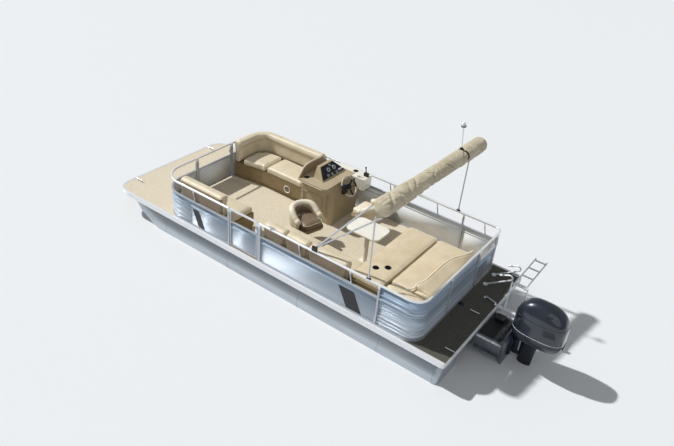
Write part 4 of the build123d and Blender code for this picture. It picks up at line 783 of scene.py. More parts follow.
def sew(obj, line, depth, width):
    """Draws a cushion in along a seam: each point near the line moves against its normal by
    depth · exp(-(distance / width)²)."""
    points = corners_of(obj)
    line = np.asarray(line, float)
    reach = 3 * width
    close = ((points > line.min(0) - reach) & (points < line.max(0) + reach)).all(1)
    if not close.any():
        return
    _, far = nearest(points[close], line)
    normals = np.zeros(len(points) * 3)
    obj.data.vertices.foreach_get("normal", normals)
    points[close] -= normals.reshape(-1, 3)[close] * (depth * np.exp(-(far / width) ** 2))[:, None]
    set_corners(obj, points)


def dent(obj, centre, radius, depth, height):
    """Sinks the top of a pad into a round well: points above the height and within the radius go down by the depth."""
    points = corners_of(obj)
    far = np.hypot(points[:, 0] - centre[0], points[:, 1] - centre[1])
    inside = (far < radius) & (points[:, 2] > height)
    share = np.clip((radius - far) / (0.3 * radius), 0, 1)
    points[inside, 2] -= (depth * share * share * (3 - 2 * share))[inside]
    set_corners(obj, points)


def on_skin(obj, line, lift=0.0):
    """Points of a line moved to the nearest spots of a piece's surface, and lifted off it."""
    tree = BVHTree.FromObject(obj, bpy.context.evaluated_depsgraph_get())
    found = [tree.find_nearest(point)[:2] for point in np.asarray(line, float).tolist()]
    return np.array([spot + normal * lift for spot, normal in found])


def calm(line, closed=False, rounds=2):
    """A line in space, each point moved to a quarter, a half and a quarter of itself and its neighbours."""
    for _ in range(rounds):
        if closed:
            line = 0.25 * np.roll(line, 1, 0) + 0.5 * line + 0.25 * np.roll(line, -1, 0)
        else:
            line = np.vstack([line[:1], 0.25 * line[:-2] + 0.5 * line[1:-1] + 0.25 * line[2:], line[-1:]])
    return line


def welt(name, obj, line, body, closed=True, radius=None):
    """Piping sewn along a line on a cushion: a cord of vinyl that lies half sunk in the surface."""
    radius = radius or settings().piping
    line = calm(on_skin(obj, line, radius * 0.35), closed)
    return tube(name, looped(line) if closed else line, radius, "piping", body, 8)


def lathe(name, centre, axis, profile, finish, body, sides=28):
    """A turned piece: centre + r (cos a · u + sin a · v) + h · axis, for a profile of (r, h)."""
    axis = np.asarray(axis, float) / np.linalg.norm(axis)
    rough = np.array([0.0, 0, 1]) if abs(axis[2]) < 0.9 else np.array([1.0, 0, 0])
    u = np.cross(axis, rough)
    u /= np.linalg.norm(u)
    v = np.cross(axis, u)
    angle = turns(sides)
    profile = np.asarray(profile, float)
    ring = np.cos(angle)[None, :, None] * u + np.sin(angle)[None, :, None] * v
    grid = np.asarray(centre, float) + profile[:, :1, None] * ring + profile[:, 1:, None] * axis
    return put(name, grid, quads(len(profile), sides, False, True), finish, body)


def box_piece(name, low, high, finish, body, bevel=0.004):
    """A small block with rounded edges."""
    low, high = np.asarray(low, float), np.asarray(high, float)
    corner = np.array([[x, y, z] for z in (0, 1) for y in (0, 1) for x in (0, 1)])
    faces = [(0, 2, 3, 1), (4, 5, 7, 6), (0, 1, 5, 4), (2, 6, 7, 3), (0, 4, 6, 2), (1, 3, 7, 5)]
    obj = put(name, low + corner * (high - low), faces, finish, body, False)
    if bevel:
        edge = obj.modifiers.new("edge", "BEVEL")
        edge.width = bevel
        edge.segments = 2
        apply_all(obj)
    return obj


# Upholstery

SEAT_LOW = DECK + 0.330
SEAT_HIGH = DECK + 0.440
SIDE = FENCE_SIDE - 0.028
VOXEL, VOXEL_ROLL, VOXEL_CHAIR = 0.016, 0.014, 0.011  # sizes that seats, rolls and chairs are remeshed at
DRAWN = 0.007  # how far a cushion starts inside its plan, so that it has room to swell


def seat_cushion(name, plan, spine, node=None, radius=0.05):
    """One seat cushion over its plan, stuffed, with a welt round its top."""
    top = 0.045
    outline = round_corners(plan, radius, 120)
    drawn = outline + inward(outline) * DRAWN
    obj = pillow_piece(name, drawn, spine, SEAT_LOW + 0.002, SEAT_HIGH - 0.006, "vinyl", "hull", top=top)
    stuff(obj, VOXEL, settings().swell, SEAT_LOW + 0.0015)
    edge = drawn + inward(drawn) * top * 0.3
    welt(name + "_welt", obj, raised(edge, SEAT_HIGH - 0.012), "hull")
    if node:
        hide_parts(node)
    return obj


def seat_back(name, path, side, high, node=None):
    """A back cushion along a plan path: a fat roll over a thinner panel, with a seam under the roll. Side is 1 where
    the seat lies to the left of the path."""
    low, waist, edge = SEAT_LOW, high - 0.135, 0.05
    profile = np.array([(-0.082, low), (0.058, low), (0.064, waist - 0.03), (0.062, waist), (0.083, waist + 0.03),
                        (0.085, high - 0.03), (0.045, high), (-0.04, high), (-0.082, high - 0.04), (-0.083, waist)])
    profile = rounded_profile(profile * (side, 1), 48, 2)
    path = even_ends(path, edge)
    obj = closed_piece(name, bolster(path, profile, edge), "vinyl", "hull")
    stuff(obj, VOXEL, settings().swell * 0.8, low)
    _, normal = along(path)
    seam = raised(path + normal * side * 0.08, waist)[3:-3]
    sew(obj, seam, 0.012, 0.012)
    welt(name + "_welt", obj, seam + (0, 0, -0.004), "hull", False)
    # painted shade on the back's faces towards the fence
    paint_shade_outside(obj, path, side, high - 0.05)
    if node:
        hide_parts(node)
    return obj


def paint_shade_outside(obj, path, side, height):
    """Paints shade on a back's faces on the fence's side, below a height: they take the brown vinyl of painted shade.
    """
    obj.data.materials.append(FINISH["vinyl_painted_shade"])
    middles = np.zeros(len(obj.data.polygons) * 3)
    obj.data.polygons.foreach_get("center", middles)
    middles = middles.reshape(-1, 3)
    _, normal = along(path)
    close = np.linalg.norm(middles[:, None, :2] - path[None], axis=2).argmin(1)
    out = ((middles[:, :2] - path[close]) * normal[close]).sum(1) * side
    outside = (out < -0.05) & (middles[:, 2] < height)
    obj.data.polygons.foreach_set("material_index", outside.astype(np.int32))
    obj.data.update()


class BOAT_OT_bow_lounges(bpy.types.Operator):
    """The two lounges at the bow: seats, wrapped backs, and a speaker in the starboard base"""
    bl_idname = "boat.bow_lounges"
    bl_label = "Bow lounges"

    def execute(self, context):
        inner = SIDE - 0.170
        seat_cushion("bow_seat_starboard_fore", [(1.95, -0.412), (1.50, -0.502), (1.423, -0.502), (1.423, -inner),
                                                 (1.78, -inner), (1.95, -inner + 0.17)],
                     [(1.60, -0.78), (1.76, -0.68)], node="lounge_starboard_seat", radius=0.09)
        seat_cushion("bow_seat_starboard_aft", [(1.417, -0.502), (0.562, -0.502), (0.562, -inner), (1.417, -inner)],
                     [(0.83, -0.77), (1.15, -0.77)])
        side = -SIDE + 0.085
        path = np.vstack([[(2.035, -0.422)], arc((1.78, -0.872), 0.255, 0, -90, 22), [(0.562, side)]])
        seat_back("bow_back_starboard", resample(path, 90), -1, DECK + 0.79, "lounge_starboard_back")
        seat_cushion("bow_seat_port", [(0.642, 0.622), (1.958, 0.642), (1.985, 1.00), (1.79, 1.205), (1.785, inner),
                                       (0.795, inner), (0.795, 1.207), (0.642, 1.207)],
                     [(0.85, 0.83), (1.74, 0.84)], node="lounge_port_seat")
        seat_back("bow_back_port", resample([(1.778, -side), (0.802, -side)], 50), 1, DECK + 0.79,
                  "lounge_port_back")
        # a speaker in the starboard base, behind a pale ring and a dark grille
        speaker = (0.90, -0.5190, 0.650)
        lathe("speaker_ring", speaker, (0, 1, 0),
              [(0.072, 0), (0.074, 0.006), (0.064, 0.009), (0.056, 0.004), (0.056, 0)], "gelcoat", "hull", 36)
        lathe("speaker_grille", speaker, (0, 1, 0), [(0, 0.005), (0.03, 0.004), (0.057, 0.001), (0.057, 0)], "mesh",
              "hull", 36)
        return {"FINISHED"}


class BOAT_OT_side_lounge(bpy.types.Operator):
    """The lounge along the port side: two seats and three backs"""
    bl_idname = "boat.side_lounge"
    bl_label = "Side lounge"

    def execute(self, context):
        inner = SIDE - 0.170
        for number, (front, aft) in enumerate(((-0.062, -0.857), (-0.863, -1.658))):
            seat_cushion(f"side_seat_{number + 1}", [(front, 0.622), (front, inner), (aft, inner), (aft, 0.622)],
                         [(front - 0.25, 0.83), (aft + 0.25, 0.83)], None if number else "lounge_mid_seat")
        for number, (front, aft) in enumerate(((-0.077, -0.498), (-0.512, -0.933), (-0.947, -1.653))):
            path = resample([(front, SIDE - 0.085), (aft, SIDE - 0.085)], 30)
            seat_back(f"side_back_{number + 1}", path, 1, DECK + 0.73, None if number else "lounge_mid_back")
        return {"FINISHED"}


class BOAT_OT_chairs(bpy.types.Operator):
    """The two bucket chairs: a shell with fat arms, an inner lining and a seat, each with its piping"""
    bl_idname = "boat.chairs"
    bl_label = "Chairs"

    def execute(self, context):
        # name, body, node, plan place, heading in degrees, finishes of the lining and the seat; the brown and umber
        # finishes are painted shade inside the chairs
        for name, body, node, place, heading, finishes in (
                ("helm", "helm_chair", "helm_seat", (-0.80, -0.64), 0.0, ("vinyl_painted_shade", "vinyl_pale")),
                ("companion", "companion_chair", "companion_seat", (-0.20, 0.30), 165.0,
                 ("vinyl_painted_deep_shade", "vinyl_painted_deep_shade"))):
            chair(name, body, node, place, math.radians(heading), finishes)
        return {"FINISHED"}


def chair(name, body, node, place, heading, finishes):
    """A bucket chair, with the finishes of its lining and its seat. Its crest line falls from the back's middle to
    the arms by low + (high - low) · (0.5 - 0.5 cos of 180 degrees times the share of the way back)."""
    base, half, arm, back = DECK + 0.2903, 0.222, 0.215, 0.34
    turn = np.array([[math.cos(heading), math.sin(heading)], [-math.sin(heading), math.cos(heading)]])

    def placed(points):
        points = np.array(points, float)
        points[..., :2] = points[..., :2] @ turn + place
        return points

    def crest(x, low, high):
        share = np.clip((0.09 - x) / 0.27, 0, 1)
        return low + (high - low) * (0.5 - 0.5 * np.cos(np.pi * share))

    wrap = resample(np.vstack([[(0.12, half)], arc((-0.03, 0), half, 90, 270, 30), [(0.12, -half)]]), 56)
    top = crest(wrap[:, 0], arm, back)
    shell = pad_grid(wrap, 0.062, base + 0.045, base + top - 0.03, 0.04, 0.5, 28)
    outer = closed_piece(name + "_chair_shell", placed(shell), "vinyl", body)
    stuff(outer, VOXEL_CHAIR, 0.006)
    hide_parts(node)

    ends = np.minimum(np.arange(56), np.arange(56)[::-1]) / 3.0
    fat = 0.052 * np.sqrt(np.clip(1 - (1 - np.clip(ends, 0, 1)) ** 2, 0.04, 1))
    crest_line = np.column_stack([wrap * (1.0, 0.985), base + top - 0.045])
    roll = tube(name + "_chair_arms", placed(crest_line), fat, "vinyl_pale", body, 22)
    stuff(roll, VOXEL_CHAIR, 0.007)

    inside = resample(np.vstack([[(0.07, 0.165)], arc((-0.03, 0), 0.165, 90, 270, 24), [(0.07, -0.165)]]), 44)
    lining = pad_grid(inside, 0.062, base + 0.15, base + crest(inside[:, 0] + 0.02, 0.19, 0.315) - 0.02, 0.03, 0.55,
                      24)
    # the lining's brown or umber is painted shade, where the arms shade the chair's inside
    inner = closed_piece(name + "_chair_lining", placed(lining), finishes[0], body)
    stuff(inner, VOXEL_CHAIR, 0.006)
    for y in (-0.07, 0.07):
        sew(inner, placed(line_of(-0.165, y, base + np.linspace(0.17, 0.29, 12))), 0.010, 0.010)

    plan = placed(round_corners([(0.235, 0.19), (-0.13, 0.19), (-0.13, -0.19), (0.235, -0.19)],
                                (0.09, 0.14, 0.14, 0.09), 90))
    spine = placed([(0.13, 0.0), (-0.05, 0.0)])
    # the companion's umber seat is painted shade
    seat = pillow_piece(name + "_chair_seat", plan, spine, base + 0.055, base + 0.160, finishes[1], body, top=0.04,
                        crown=0.014)
    stuff(seat, VOXEL_CHAIR, 0.008, base + 0.05)
    edge = plan + inward(plan) * 0.012
    welt(name + "_chair_seat_welt", seat, raised(edge, base + 0.15), body, radius=0.005)
    plan = placed(round_corners([(0.245, 0.22), (-0.2, 0.22), (-0.2, -0.22), (0.245, -0.22)], 0.11, 80))
    pillow_piece(name + "_chair_tray", plan, placed([(0.1, 0.0), (-0.1, 0.0)]), base, base + 0.055,
                 "moulding_dark", body, top=0.012, foot=0.02, crown=0)
    # two rings of piping round the front of each arm
    angle, out = turns(26), 0.056
    for side, word in SIDES:
        for number, x in enumerate((0.105, 0.02)):
            height = base + crest(x, arm, back) - 0.045
            ring = line_of(x, side * half * 0.985 + out * np.cos(angle), height + out * np.sin(angle))
            welt(f"{name}_chair_ring_{word}_{number + 1}", roll, placed(ring), body, radius=0.006)


def deck_pad(name, corners, radius, count, spine, heights, drop, body, **shape):
    """One pad of the sun deck, stuffed, with a welt round its top, a drop below its upper height."""
    low, high = heights
    plan = round_corners(corners, radius, count)
    drawn = plan + inward(plan) * DRAWN
    pad = pillow_piece(name, drawn, spine, low + 0.002, high - 0.006, "vinyl_deck", body, **shape)
    stuff(pad, VOXEL, settings().swell * 0.6, low)
    welt(name + "_welt", pad, raised(drawn + inward(drawn) * 0.010, high - drop), body)
    return pad


class BOAT_OT_sun_deck(bpy.types.Operator):
    """The sun deck's pads, with the cup wells, the rolled port side and the headrest wedge"""
    bl_idname = "boat.sun_deck"
    bl_label = "Sun deck"

    def execute(self, context):
        low, high = DECK + 0.5105, DECK + 0.62
        front, split, aft = -1.70, -2.235, -2.87
        port, starboard = 1.17, -0.45
        back = split + 0.008
        pad = deck_pad("sun_pad_fixed", [(front, port), (back, port), (back, starboard), (front, starboard)],
                       (0.05, 0.03, 0.03, 0.05), 150, [(-1.96, 0.93), (-1.96, -0.22)], (low, high), 0.012, "hull",
                       top=0.035, crown=0.008)
        for number, (x, y) in enumerate(((-1.925, 0.86), (-2.055, 0.74))):
            dent(pad, (x, y), 0.05, 0.075, high - 0.03)
            cup_liner(f"sun_pad_cup_{number + 1}", (x, y, high + 0.006), 0.042, 0.068)
        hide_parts("sundeck_front_pad")

        inner = 0.962
        lift = deck_pad("sun_pad_lifting", [(split, inner), (aft, inner), (aft, starboard), (split, starboard)],
                        (0.03, 0.05, 0.04, 0.03), 160, [(-2.54, 0.68), (-2.54, -0.16)], (low, high), 0.014,
                        "sundeck_lid", top=0.045, crown=0.010)
        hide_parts("sundeck_pad")

        # the stuffed roll along the pad's port side
        profile = rounded_profile([(-0.094, low + 0.004), (0.094, low + 0.004), (0.094, high - 0.006),
                                   (0.055, high + 0.010), (-0.015, high + 0.006), (-0.094, high - 0.045)], 44, 2)
        path = even_ends([(split - 0.006, 1.070), (-2.845, 1.070)], 0.085)
        middle = resample(path[END_ROWS - 1:1 - END_ROWS], 24)[1:-1]
        path = np.vstack([path[:END_ROWS], middle, path[-END_ROWS:]])
        side_roll = closed_piece("sun_pad_side_roll", bolster(path, profile, 0.085), "vinyl_deck", "sundeck_lid")
        stuff(side_roll, VOXEL_ROLL, settings().swell * 0.6, low)
        line = line_of(np.linspace(split - 0.05, -2.78, 40), 1.085, high + 0.006)
        welt("sun_pad_side_welt", side_roll, line, "sundeck_lid", False)

        # the headrest: a wedge whose front ridge runs forward in an S from the starboard side
        wide, edge = 1.343, 0.05
        near = edge * (1 - np.cos(np.linspace(0, np.pi / 2, END_ROWS)))
        across = starboard + 0.012 + np.r_[near, np.linspace(edge, wide - edge, 60)[1:-1], wide - near[::-1]]
        ridge = np.interp(across, (-0.446, -0.343, -0.241, -0.070, 0.077, 0.232, 0.466, 0.721, 0.841, 0.90),
                          (-2.825, -2.820, -2.782, -2.689, -2.654, -2.643, -2.646, -2.649, -2.611, -2.600))
        ridge = calm(np.column_stack([ridge, across]), rounds=8)[:, 0]
        foot, top = high - 0.040, high + 0.080
        shape = np.stack([rounded_profile([(aft + 0.006, foot), (aft + 0.006, top - 0.075), (aft + 0.035, top - 0.060),
                                           (r - 0.035, top - 0.006), (r + 0.010, top - 0.006), (r + 0.03, foot + 0.02),
                                           (r + 0.03, foot)], 40, 2) for r in ridge])
        # the path runs to port, so its left-hand side is aft
        path = np.column_stack([0 * across, across])
        wedge = closed_piece("sun_pad_headrest", bolster(path, shape * (-1, 1), edge), "vinyl_deck", "sundeck_lid")
        stuff(wedge, VOXEL_ROLL, settings().swell * 0.5)
        # one cream welt: along the ridge, round the corner, and down onto the side roll's inner edge
        run = line_of(ridge, across, top)[5:-14:3]
        bend = [(-2.60, 0.905, top - 0.02), (-2.53, 0.965, high + 0.03), (-2.42, 0.990, high + 0.012),
                (split - 0.06, 0.992, high + 0.008)]
        line = smooth_line(np.vstack([run, bend]), 150)
        spots = np.stack([on_skin(piece, line, 0.006) for piece in (wedge, side_roll)])
        best = np.linalg.norm(spots - line, axis=2).argmin(0)
        line = calm(spots[best, np.arange(len(line))], rounds=6)
        tube("sun_pad_headrest_welt", line, 0.0125, "vinyl_pale", "sundeck_lid", 10)
        return {"FINISHED"}


def cup_liner(name, rim, radius, depth):
    """A black cup liner: a flange that lies on the surface, a wall and a floor."""
    lathe(name, rim, (0, 0, 1), [(radius + 0.009, -0.005), (radius + 0.008, 0.001), (radius + 0.001, 0.002),
                                 (radius - 0.002, -0.002), (radius - 0.005, -depth + 0.004), (radius - 0.010, -depth),
                                 (0, -depth)], "black", "hull", 36)


STRAPS = (0.775,)  # each strap's place, as a share of the roll's length


class BOAT_OT_folded_top(bpy.types.Operator):
    """The folded canvas top in its boot, with its straps, and the lens of the anchor light"""
    bl_idname = "boat.folded_top"
    bl_label = "Folded top"

    def execute(self, context):
        start, end = np.array([-2.05, 1.20, 2.285]), np.array([-2.27, -1.27, 2.46])
        way = (end - start) / np.linalg.norm(end - start)
        length = np.linalg.norm(end - start)
        side = np.cross(way, (0, 0, 1))
        side /= np.linalg.norm(side)
        up = np.cross(side, way)

        def outward(angle):
            """Directions square to the roll, by the angle round it."""
            return np.cos(angle)[..., None] * side + np.sin(angle)[..., None] * up

        rows, columns = 220, 96
        share = np.linspace(0, 1, rows)[:, None]
        angle = turns(columns)[None, :]
        ends = np.minimum(share, 1 - share) * length
        cap = np.sqrt(np.clip(1 - (1 - np.clip(ends / 0.09, 0, 1)) ** 2, 0.0004, 1))
        body_radius = 0.134 - 0.016 * share + 0.006 * np.sin(2 * np.pi * (1.3 * share + 0.1))
        sag = 0.010 * np.cos(angle - np.pi / 2) ** 2 * np.sign(-np.sin(angle))
        random = np.random.default_rng(7)
        folds = np.zeros((rows, columns))
        # each fold has a place along the roll, a slant and a width, and an angle where it is deepest, with its spread
        places = np.r_[random.uniform(0.03, 0.16, 9), random.uniform(0.20, 0.64, 34), random.uniform(0.66, 0.97, 14)]
        for place in places:
            slant, width = random.uniform(-0.06, 0.06), random.uniform(0.004, 0.011)
            middle, spread = random.uniform(0, 2 * np.pi), random.uniform(0.7, 1.6)
            gap = np.angle(np.exp(1j * (angle - middle)))
            centre = place + slant * gap + 0.004 * np.sin(3 * gap + place * 40)
            folds += random.uniform(0.5, 1.0) * np.exp(-((share - centre) / width) ** 2) * np.exp(-(gap / spread) ** 2)
        run = 0.35 * np.sin(5 * angle + 9 * share + 2 * np.sin(7 * share)) + 0.2 * np.sin(9 * angle - 14 * share)
        # the cloth is gathered at the port end
        gather = np.exp(-(share / 0.11) ** 2) * (0.6 * np.sin(13 * angle + 26 * share)
                                                 + 0.4 * np.sin(8 * angle - 18 * share))
        strap = sum(np.exp(-((share - place) / 0.016) ** 2) for place in STRAPS)
        radius = (body_radius + sag - settings().fold_depth * np.clip(folds, 0, 1.2) + 0.004 * run + 0.006 * gather
                  - 0.012 * strap) * cap
        grid = start + way * length * share[..., None] + radius[..., None] * outward(angle)
        roll = closed_piece("folded_canvas", grid, "canvas", "bimini")
        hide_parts("bimini_boot")
        for number, place in enumerate(STRAPS):
            row = int(place * (rows - 1))
            ring = radius[row][:, None] * outward(angle[0])
            out = ring / np.linalg.norm(ring, axis=1)[:, None]
            middle = start + way * length * place + ring
            grid = np.stack([middle + out * lift + way * shift for shift, lift in
                             ((-0.019, 0.0005), (-0.019, 0.0035), (0.019, 0.0035), (0.019, 0.0005))])
            put(f"strap_{number + 1}", grid, quads(4, columns, True, True), "webbing", "bimini")
            buckle = start + way * length * place + (side * -0.75 + up * -0.45) * (radius[row].mean() + 0.008)
            box_piece(f"buckle_{number + 1}", buckle - 0.022, buckle + 0.022, "black", "bimini", 0.006)
        # the boot's zip, a dark line along the roll's lower aft side
        row = np.arange(8, rows - 8)
        turn = int(columns * 0.62)
        line = start + way * length * share[row] + radius[row, turn][:, None] * 1.004 * outward(angle[0, turn])
        tube("boot_zip", line, 0.004, "webbing", "bimini", 6)
        # the anchor light's boot, base and lens, which lean with their pole
        foot = np.array([-2.2172, -0.6772, 2.418])
        lean = np.array([math.sin(math.radians(5.4)), 0, math.cos(math.radians(5.4))])
        lathe("light_boot", foot + lean * 0.128, lean, [(0.010, 0.02), (0.016, 0.016), (0.026, 0.0), (0.028, -0.012)],
              "rubber", "bimini")
        head = foot + lean * 0.462
        lathe("light_base", head, lean, [(0, -0.001), (0.0385, -0.001), (0.0385, 0.014), (0.036, 0.0187), (0, 0.0187)],
              "black", "bimini")
        lathe("light_lens", head + lean * 0.0186, lean, [(0.0275, 0), (0.0275, 0.03), (0.024, 0.043), (0.014, 0.0505),
                                                         (0, 0.052)], "lens", "bimini")
        return {"FINISHED"}


DASH_ORIGIN = np.array([0.0, 0.0, 1.194])
DASH_UP = np.array([0.6764, 0.0, 0.7366])
DASH_OUT = np.array([-0.7366, 0.0, 0.6764])


def on_dash(s, y, out=0.0085):
    """A point of the dash's face, by its distance up the slope and its place across."""
    return DASH_ORIGIN + DASH_UP * s + DASH_OUT * out + np.array([0, y, 0])


class BOAT_OT_helm(bpy.types.Operator):
    """Gauges and switches on the dash, cup liners, the wheel's cap and grips, and the console's trim"""
    bl_idname = "boat.helm"
    bl_label = "Helm"

    def execute(self, context):
        # distance up the dash, place across, radius
        for number, (s, y, radius) in enumerate(((0.158, -0.640, 0.036), (0.155, -0.790, 0.036), (0.072, -0.575, 0.023),
                                                 (0.064, -0.675, 0.023), (0.062, -0.795, 0.023),
                                                 (0.220, -0.720, 0.018))):
            for key, finish, profile in (
                    ("bezel", "bezel", ((1.16, 0), (1.14, 0.006), (1, 0.009), (0.9, 0.006), (0.88, 0))),
                    ("face", "dial", ((0, 0.004), (0.92, 0.004), (0.92, 0))),
                    ("scale", "scale", ((0.62, 0.0046), (0.8, 0.0046), (0.8, 0.003), (0.62, 0.003), (0.62, 0.0046)))):
                lathe(f"gauge_{key}_{number + 1}", on_dash(s, y), DASH_OUT, np.array(profile) * (radius, 1), finish,
                      "hull")
        for number, y in enumerate(np.linspace(-0.865, -0.955, 4)):
            spot = on_dash(0.075, y, 0.0125)
            box_piece(f"rocker_{number + 1}", spot - (0.010, 0.008, 0.014), spot + (0.010, 0.008, 0.014),
                      "scale", "hull", 0.003)
        cup_liner("console_cup_liner", (0.330, -0.345, 1.2005), 0.0398, 0.0585)
        cup_liner("shelf_cup_liner", (-0.147, -1.125, 1.2005), 0.0398, 0.0585)

        # the wheel's cap, and soft pale grips over most of its rim
        rake = math.radians(35)
        axis = np.array([-math.cos(rake), 0, math.sin(rake)])
        centre = np.array([-0.355, -0.640, 1.170])
        lathe("wheel_cap", centre + axis * 0.0140, axis, [(0.046, 0), (0.044, 0.008), (0.036, 0.014), (0.02, 0.017),
                                                          (0, 0.018)], "black", "steering_wheel")
        across, up = np.array([0, 1.0, 0]), np.cross(axis, (0, 1.0, 0))
        for number, (first, last) in enumerate(((25, 155), (205, 335))):
            angle = np.radians(np.linspace(first, last, 40))[:, None]
            grip = centre + 0.170 * (np.cos(angle) * across + np.sin(angle) * up)
            tube(f"wheel_grip_{number + 1}", grip, 0.0153, "grip", "steering_wheel", 14)

        # trim of the console: the coaming's edge, its inner face as a brown plate of painted shade, the door's bead,
        # the ledge over it in pale moulding as a painted highlight, the flutes
        edge = line_of(0.417, (-0.235, -0.353, -0.43, -0.87, -1.040), (1.199, 1.346, 1.386, 1.386, 1.199))
        tube("coaming_edge", smooth_line(edge, 70, 2), 0.0155, "moulding_pale", "hull", 12)
        plate = np.vstack([line_of(x, (-0.243, -0.358, -0.432, -0.866, -1.030), (1.203, 1.338, 1.372, 1.372, 1.203))
                           for x in (0.4036, 0.4010)])
        faces = [tuple(range(5)), tuple(range(9, 4, -1))] + [(i, (i + 1) % 5, (i + 1) % 5 + 5, i + 5) for i in range(5)]
        # the coaming's inner face: a brown plate of painted shade
        put("coaming_lining", plate, faces, "vinyl_painted_shade", "hull", False)
        rim = round_corners([(0.345, 0.56), (-0.038, 0.56), (-0.038, 0.948), (0.345, 0.948)], 0.03, 90)
        rim = line_of(rim[:, 0], -0.3195, rim[:, 1])
        tube("door_bead", looped(rim), 0.006, "moulding", "console_door", 8)
        # a pale ledge: a painted highlight along the edge over the door
        ledge = line_of((0.39, -0.105), -0.2135, 1.165)
        tube("console_ledge", resample(ledge, 20), 0.006, "moulding_pale", "hull", 8)
        for number, x in enumerate(np.linspace(-0.162, -0.130, 3)):
            flute = line_of(x, -0.3190, np.linspace(0.60, 1.03, 12))
            tube(f"console_flute_{number + 1}", flute, 0.005, "moulding", "hull", 8)
        return {"FINISHED"}


class BOAT_OT_table(bpy.types.Operator):
    """The table's pale edge and its four drink rings"""
    bl_idname = "boat.table"
    bl_label = "Table"

    def execute(self, context):
        centre = np.array([-1.29, 0.13])
        half = np.array([0.30, 0.22])
        plan = round_corners(centre + half * np.array([(1, 1), (-1, 1), (-1, -1), (1, -1)]), 0.11, 96)
        rim = raised(plan + inward(plan) * 0.001, 1.106)
        tube("table_edge", looped(rim), 0.007, "moulding_pale", "hull", 8)
        for number, (x, y) in enumerate(((0.19, 0.12), (-0.19, 0.12), (-0.19, -0.12), (0.19, -0.12))):
            lathe(f"drink_ring_{number + 1}", (centre[0] + x, centre[1] + y, 1.1195), (0, 0, 1),
                  [(0.046, 0), (0.044, 0.0022), (0.041, 0.0022), (0.039, 0)], "gelcoat", "hull")
        return {"FINISHED"}


class BOAT_OT_floats(bpy.types.Operator):
    """Weld seams round the floats, their lifting strakes, and the lip of the deck's trim"""
    bl_idname = "boat.floats"
    bl_label = "Floats"

    def execute(self, context):
        centre_z, skin, turn = 0.048, 0.2915, math.radians(-28)
        for side, word in SIDES:
            y = side * 0.97
            for number, x in enumerate((2.148, 0.66, -0.835, -2.33, -3.25)):
                ring = line_of(x, y + skin * np.cos(turns(64)), centre_z + skin * np.sin(turns(64)))
                tube(f"weld_{word}_{number + 1}", looped(ring), 0.0042, "weld", "hull", 6)
            # a strake of folded plate along each shoulder, that runs out at both ends
            for number, out in enumerate((side, -side)):
                root = y + out * (skin - 0.001) * math.cos(turn)
                height = centre_z + (skin - 0.001) * math.sin(turn)
                x = np.linspace(-3.18, 2.10, 60)
                lip = np.clip(np.minimum(x + 3.18, 2.10 - x) / 0.18, 0, 1)
                grid = np.stack([line_of(x, root + out * a * lip, height + b * (0.4 + 0.6 * lip))
                                 for a, b in ((0.0, 0.016), (0.040, -0.012), (0.040, -0.016), (0.0, -0.016))])
                put(f"strake_{word}_{number + 1}", grid, strip_faces(4, 60), "float", "hull", False)
        # the pale lip of the deck's trim, outside the fence and round the bow
        path = round_corners([(-3.38, 1.2765), (3.3815, 1.2765), (3.3815, -1.2765), (-3.38, -1.2765)], 0.28, 260,
                             False)
        _, normal = along(path)
        lip = np.stack([raised(path + normal * out, DECK + rise) for out, rise in
                        ((0.0175, 0.0004), (0.0175, 0.0022), (-0.0175, 0.0022), (-0.0175, 0.0004))])
        put("deck_lip", lip, strip_faces(4, len(path)), "trim", "hull", False)
        return {"FINISHED"}


def strip_faces(sides, count):
    """Faces of a bar: its sides between neighbouring stations, and both ends."""
    faces = quads(sides, count, True, False).tolist()
    step = np.arange(sides) * count
    return faces + [step.tolist(), (step + count - 1)[::-1].tolist()]


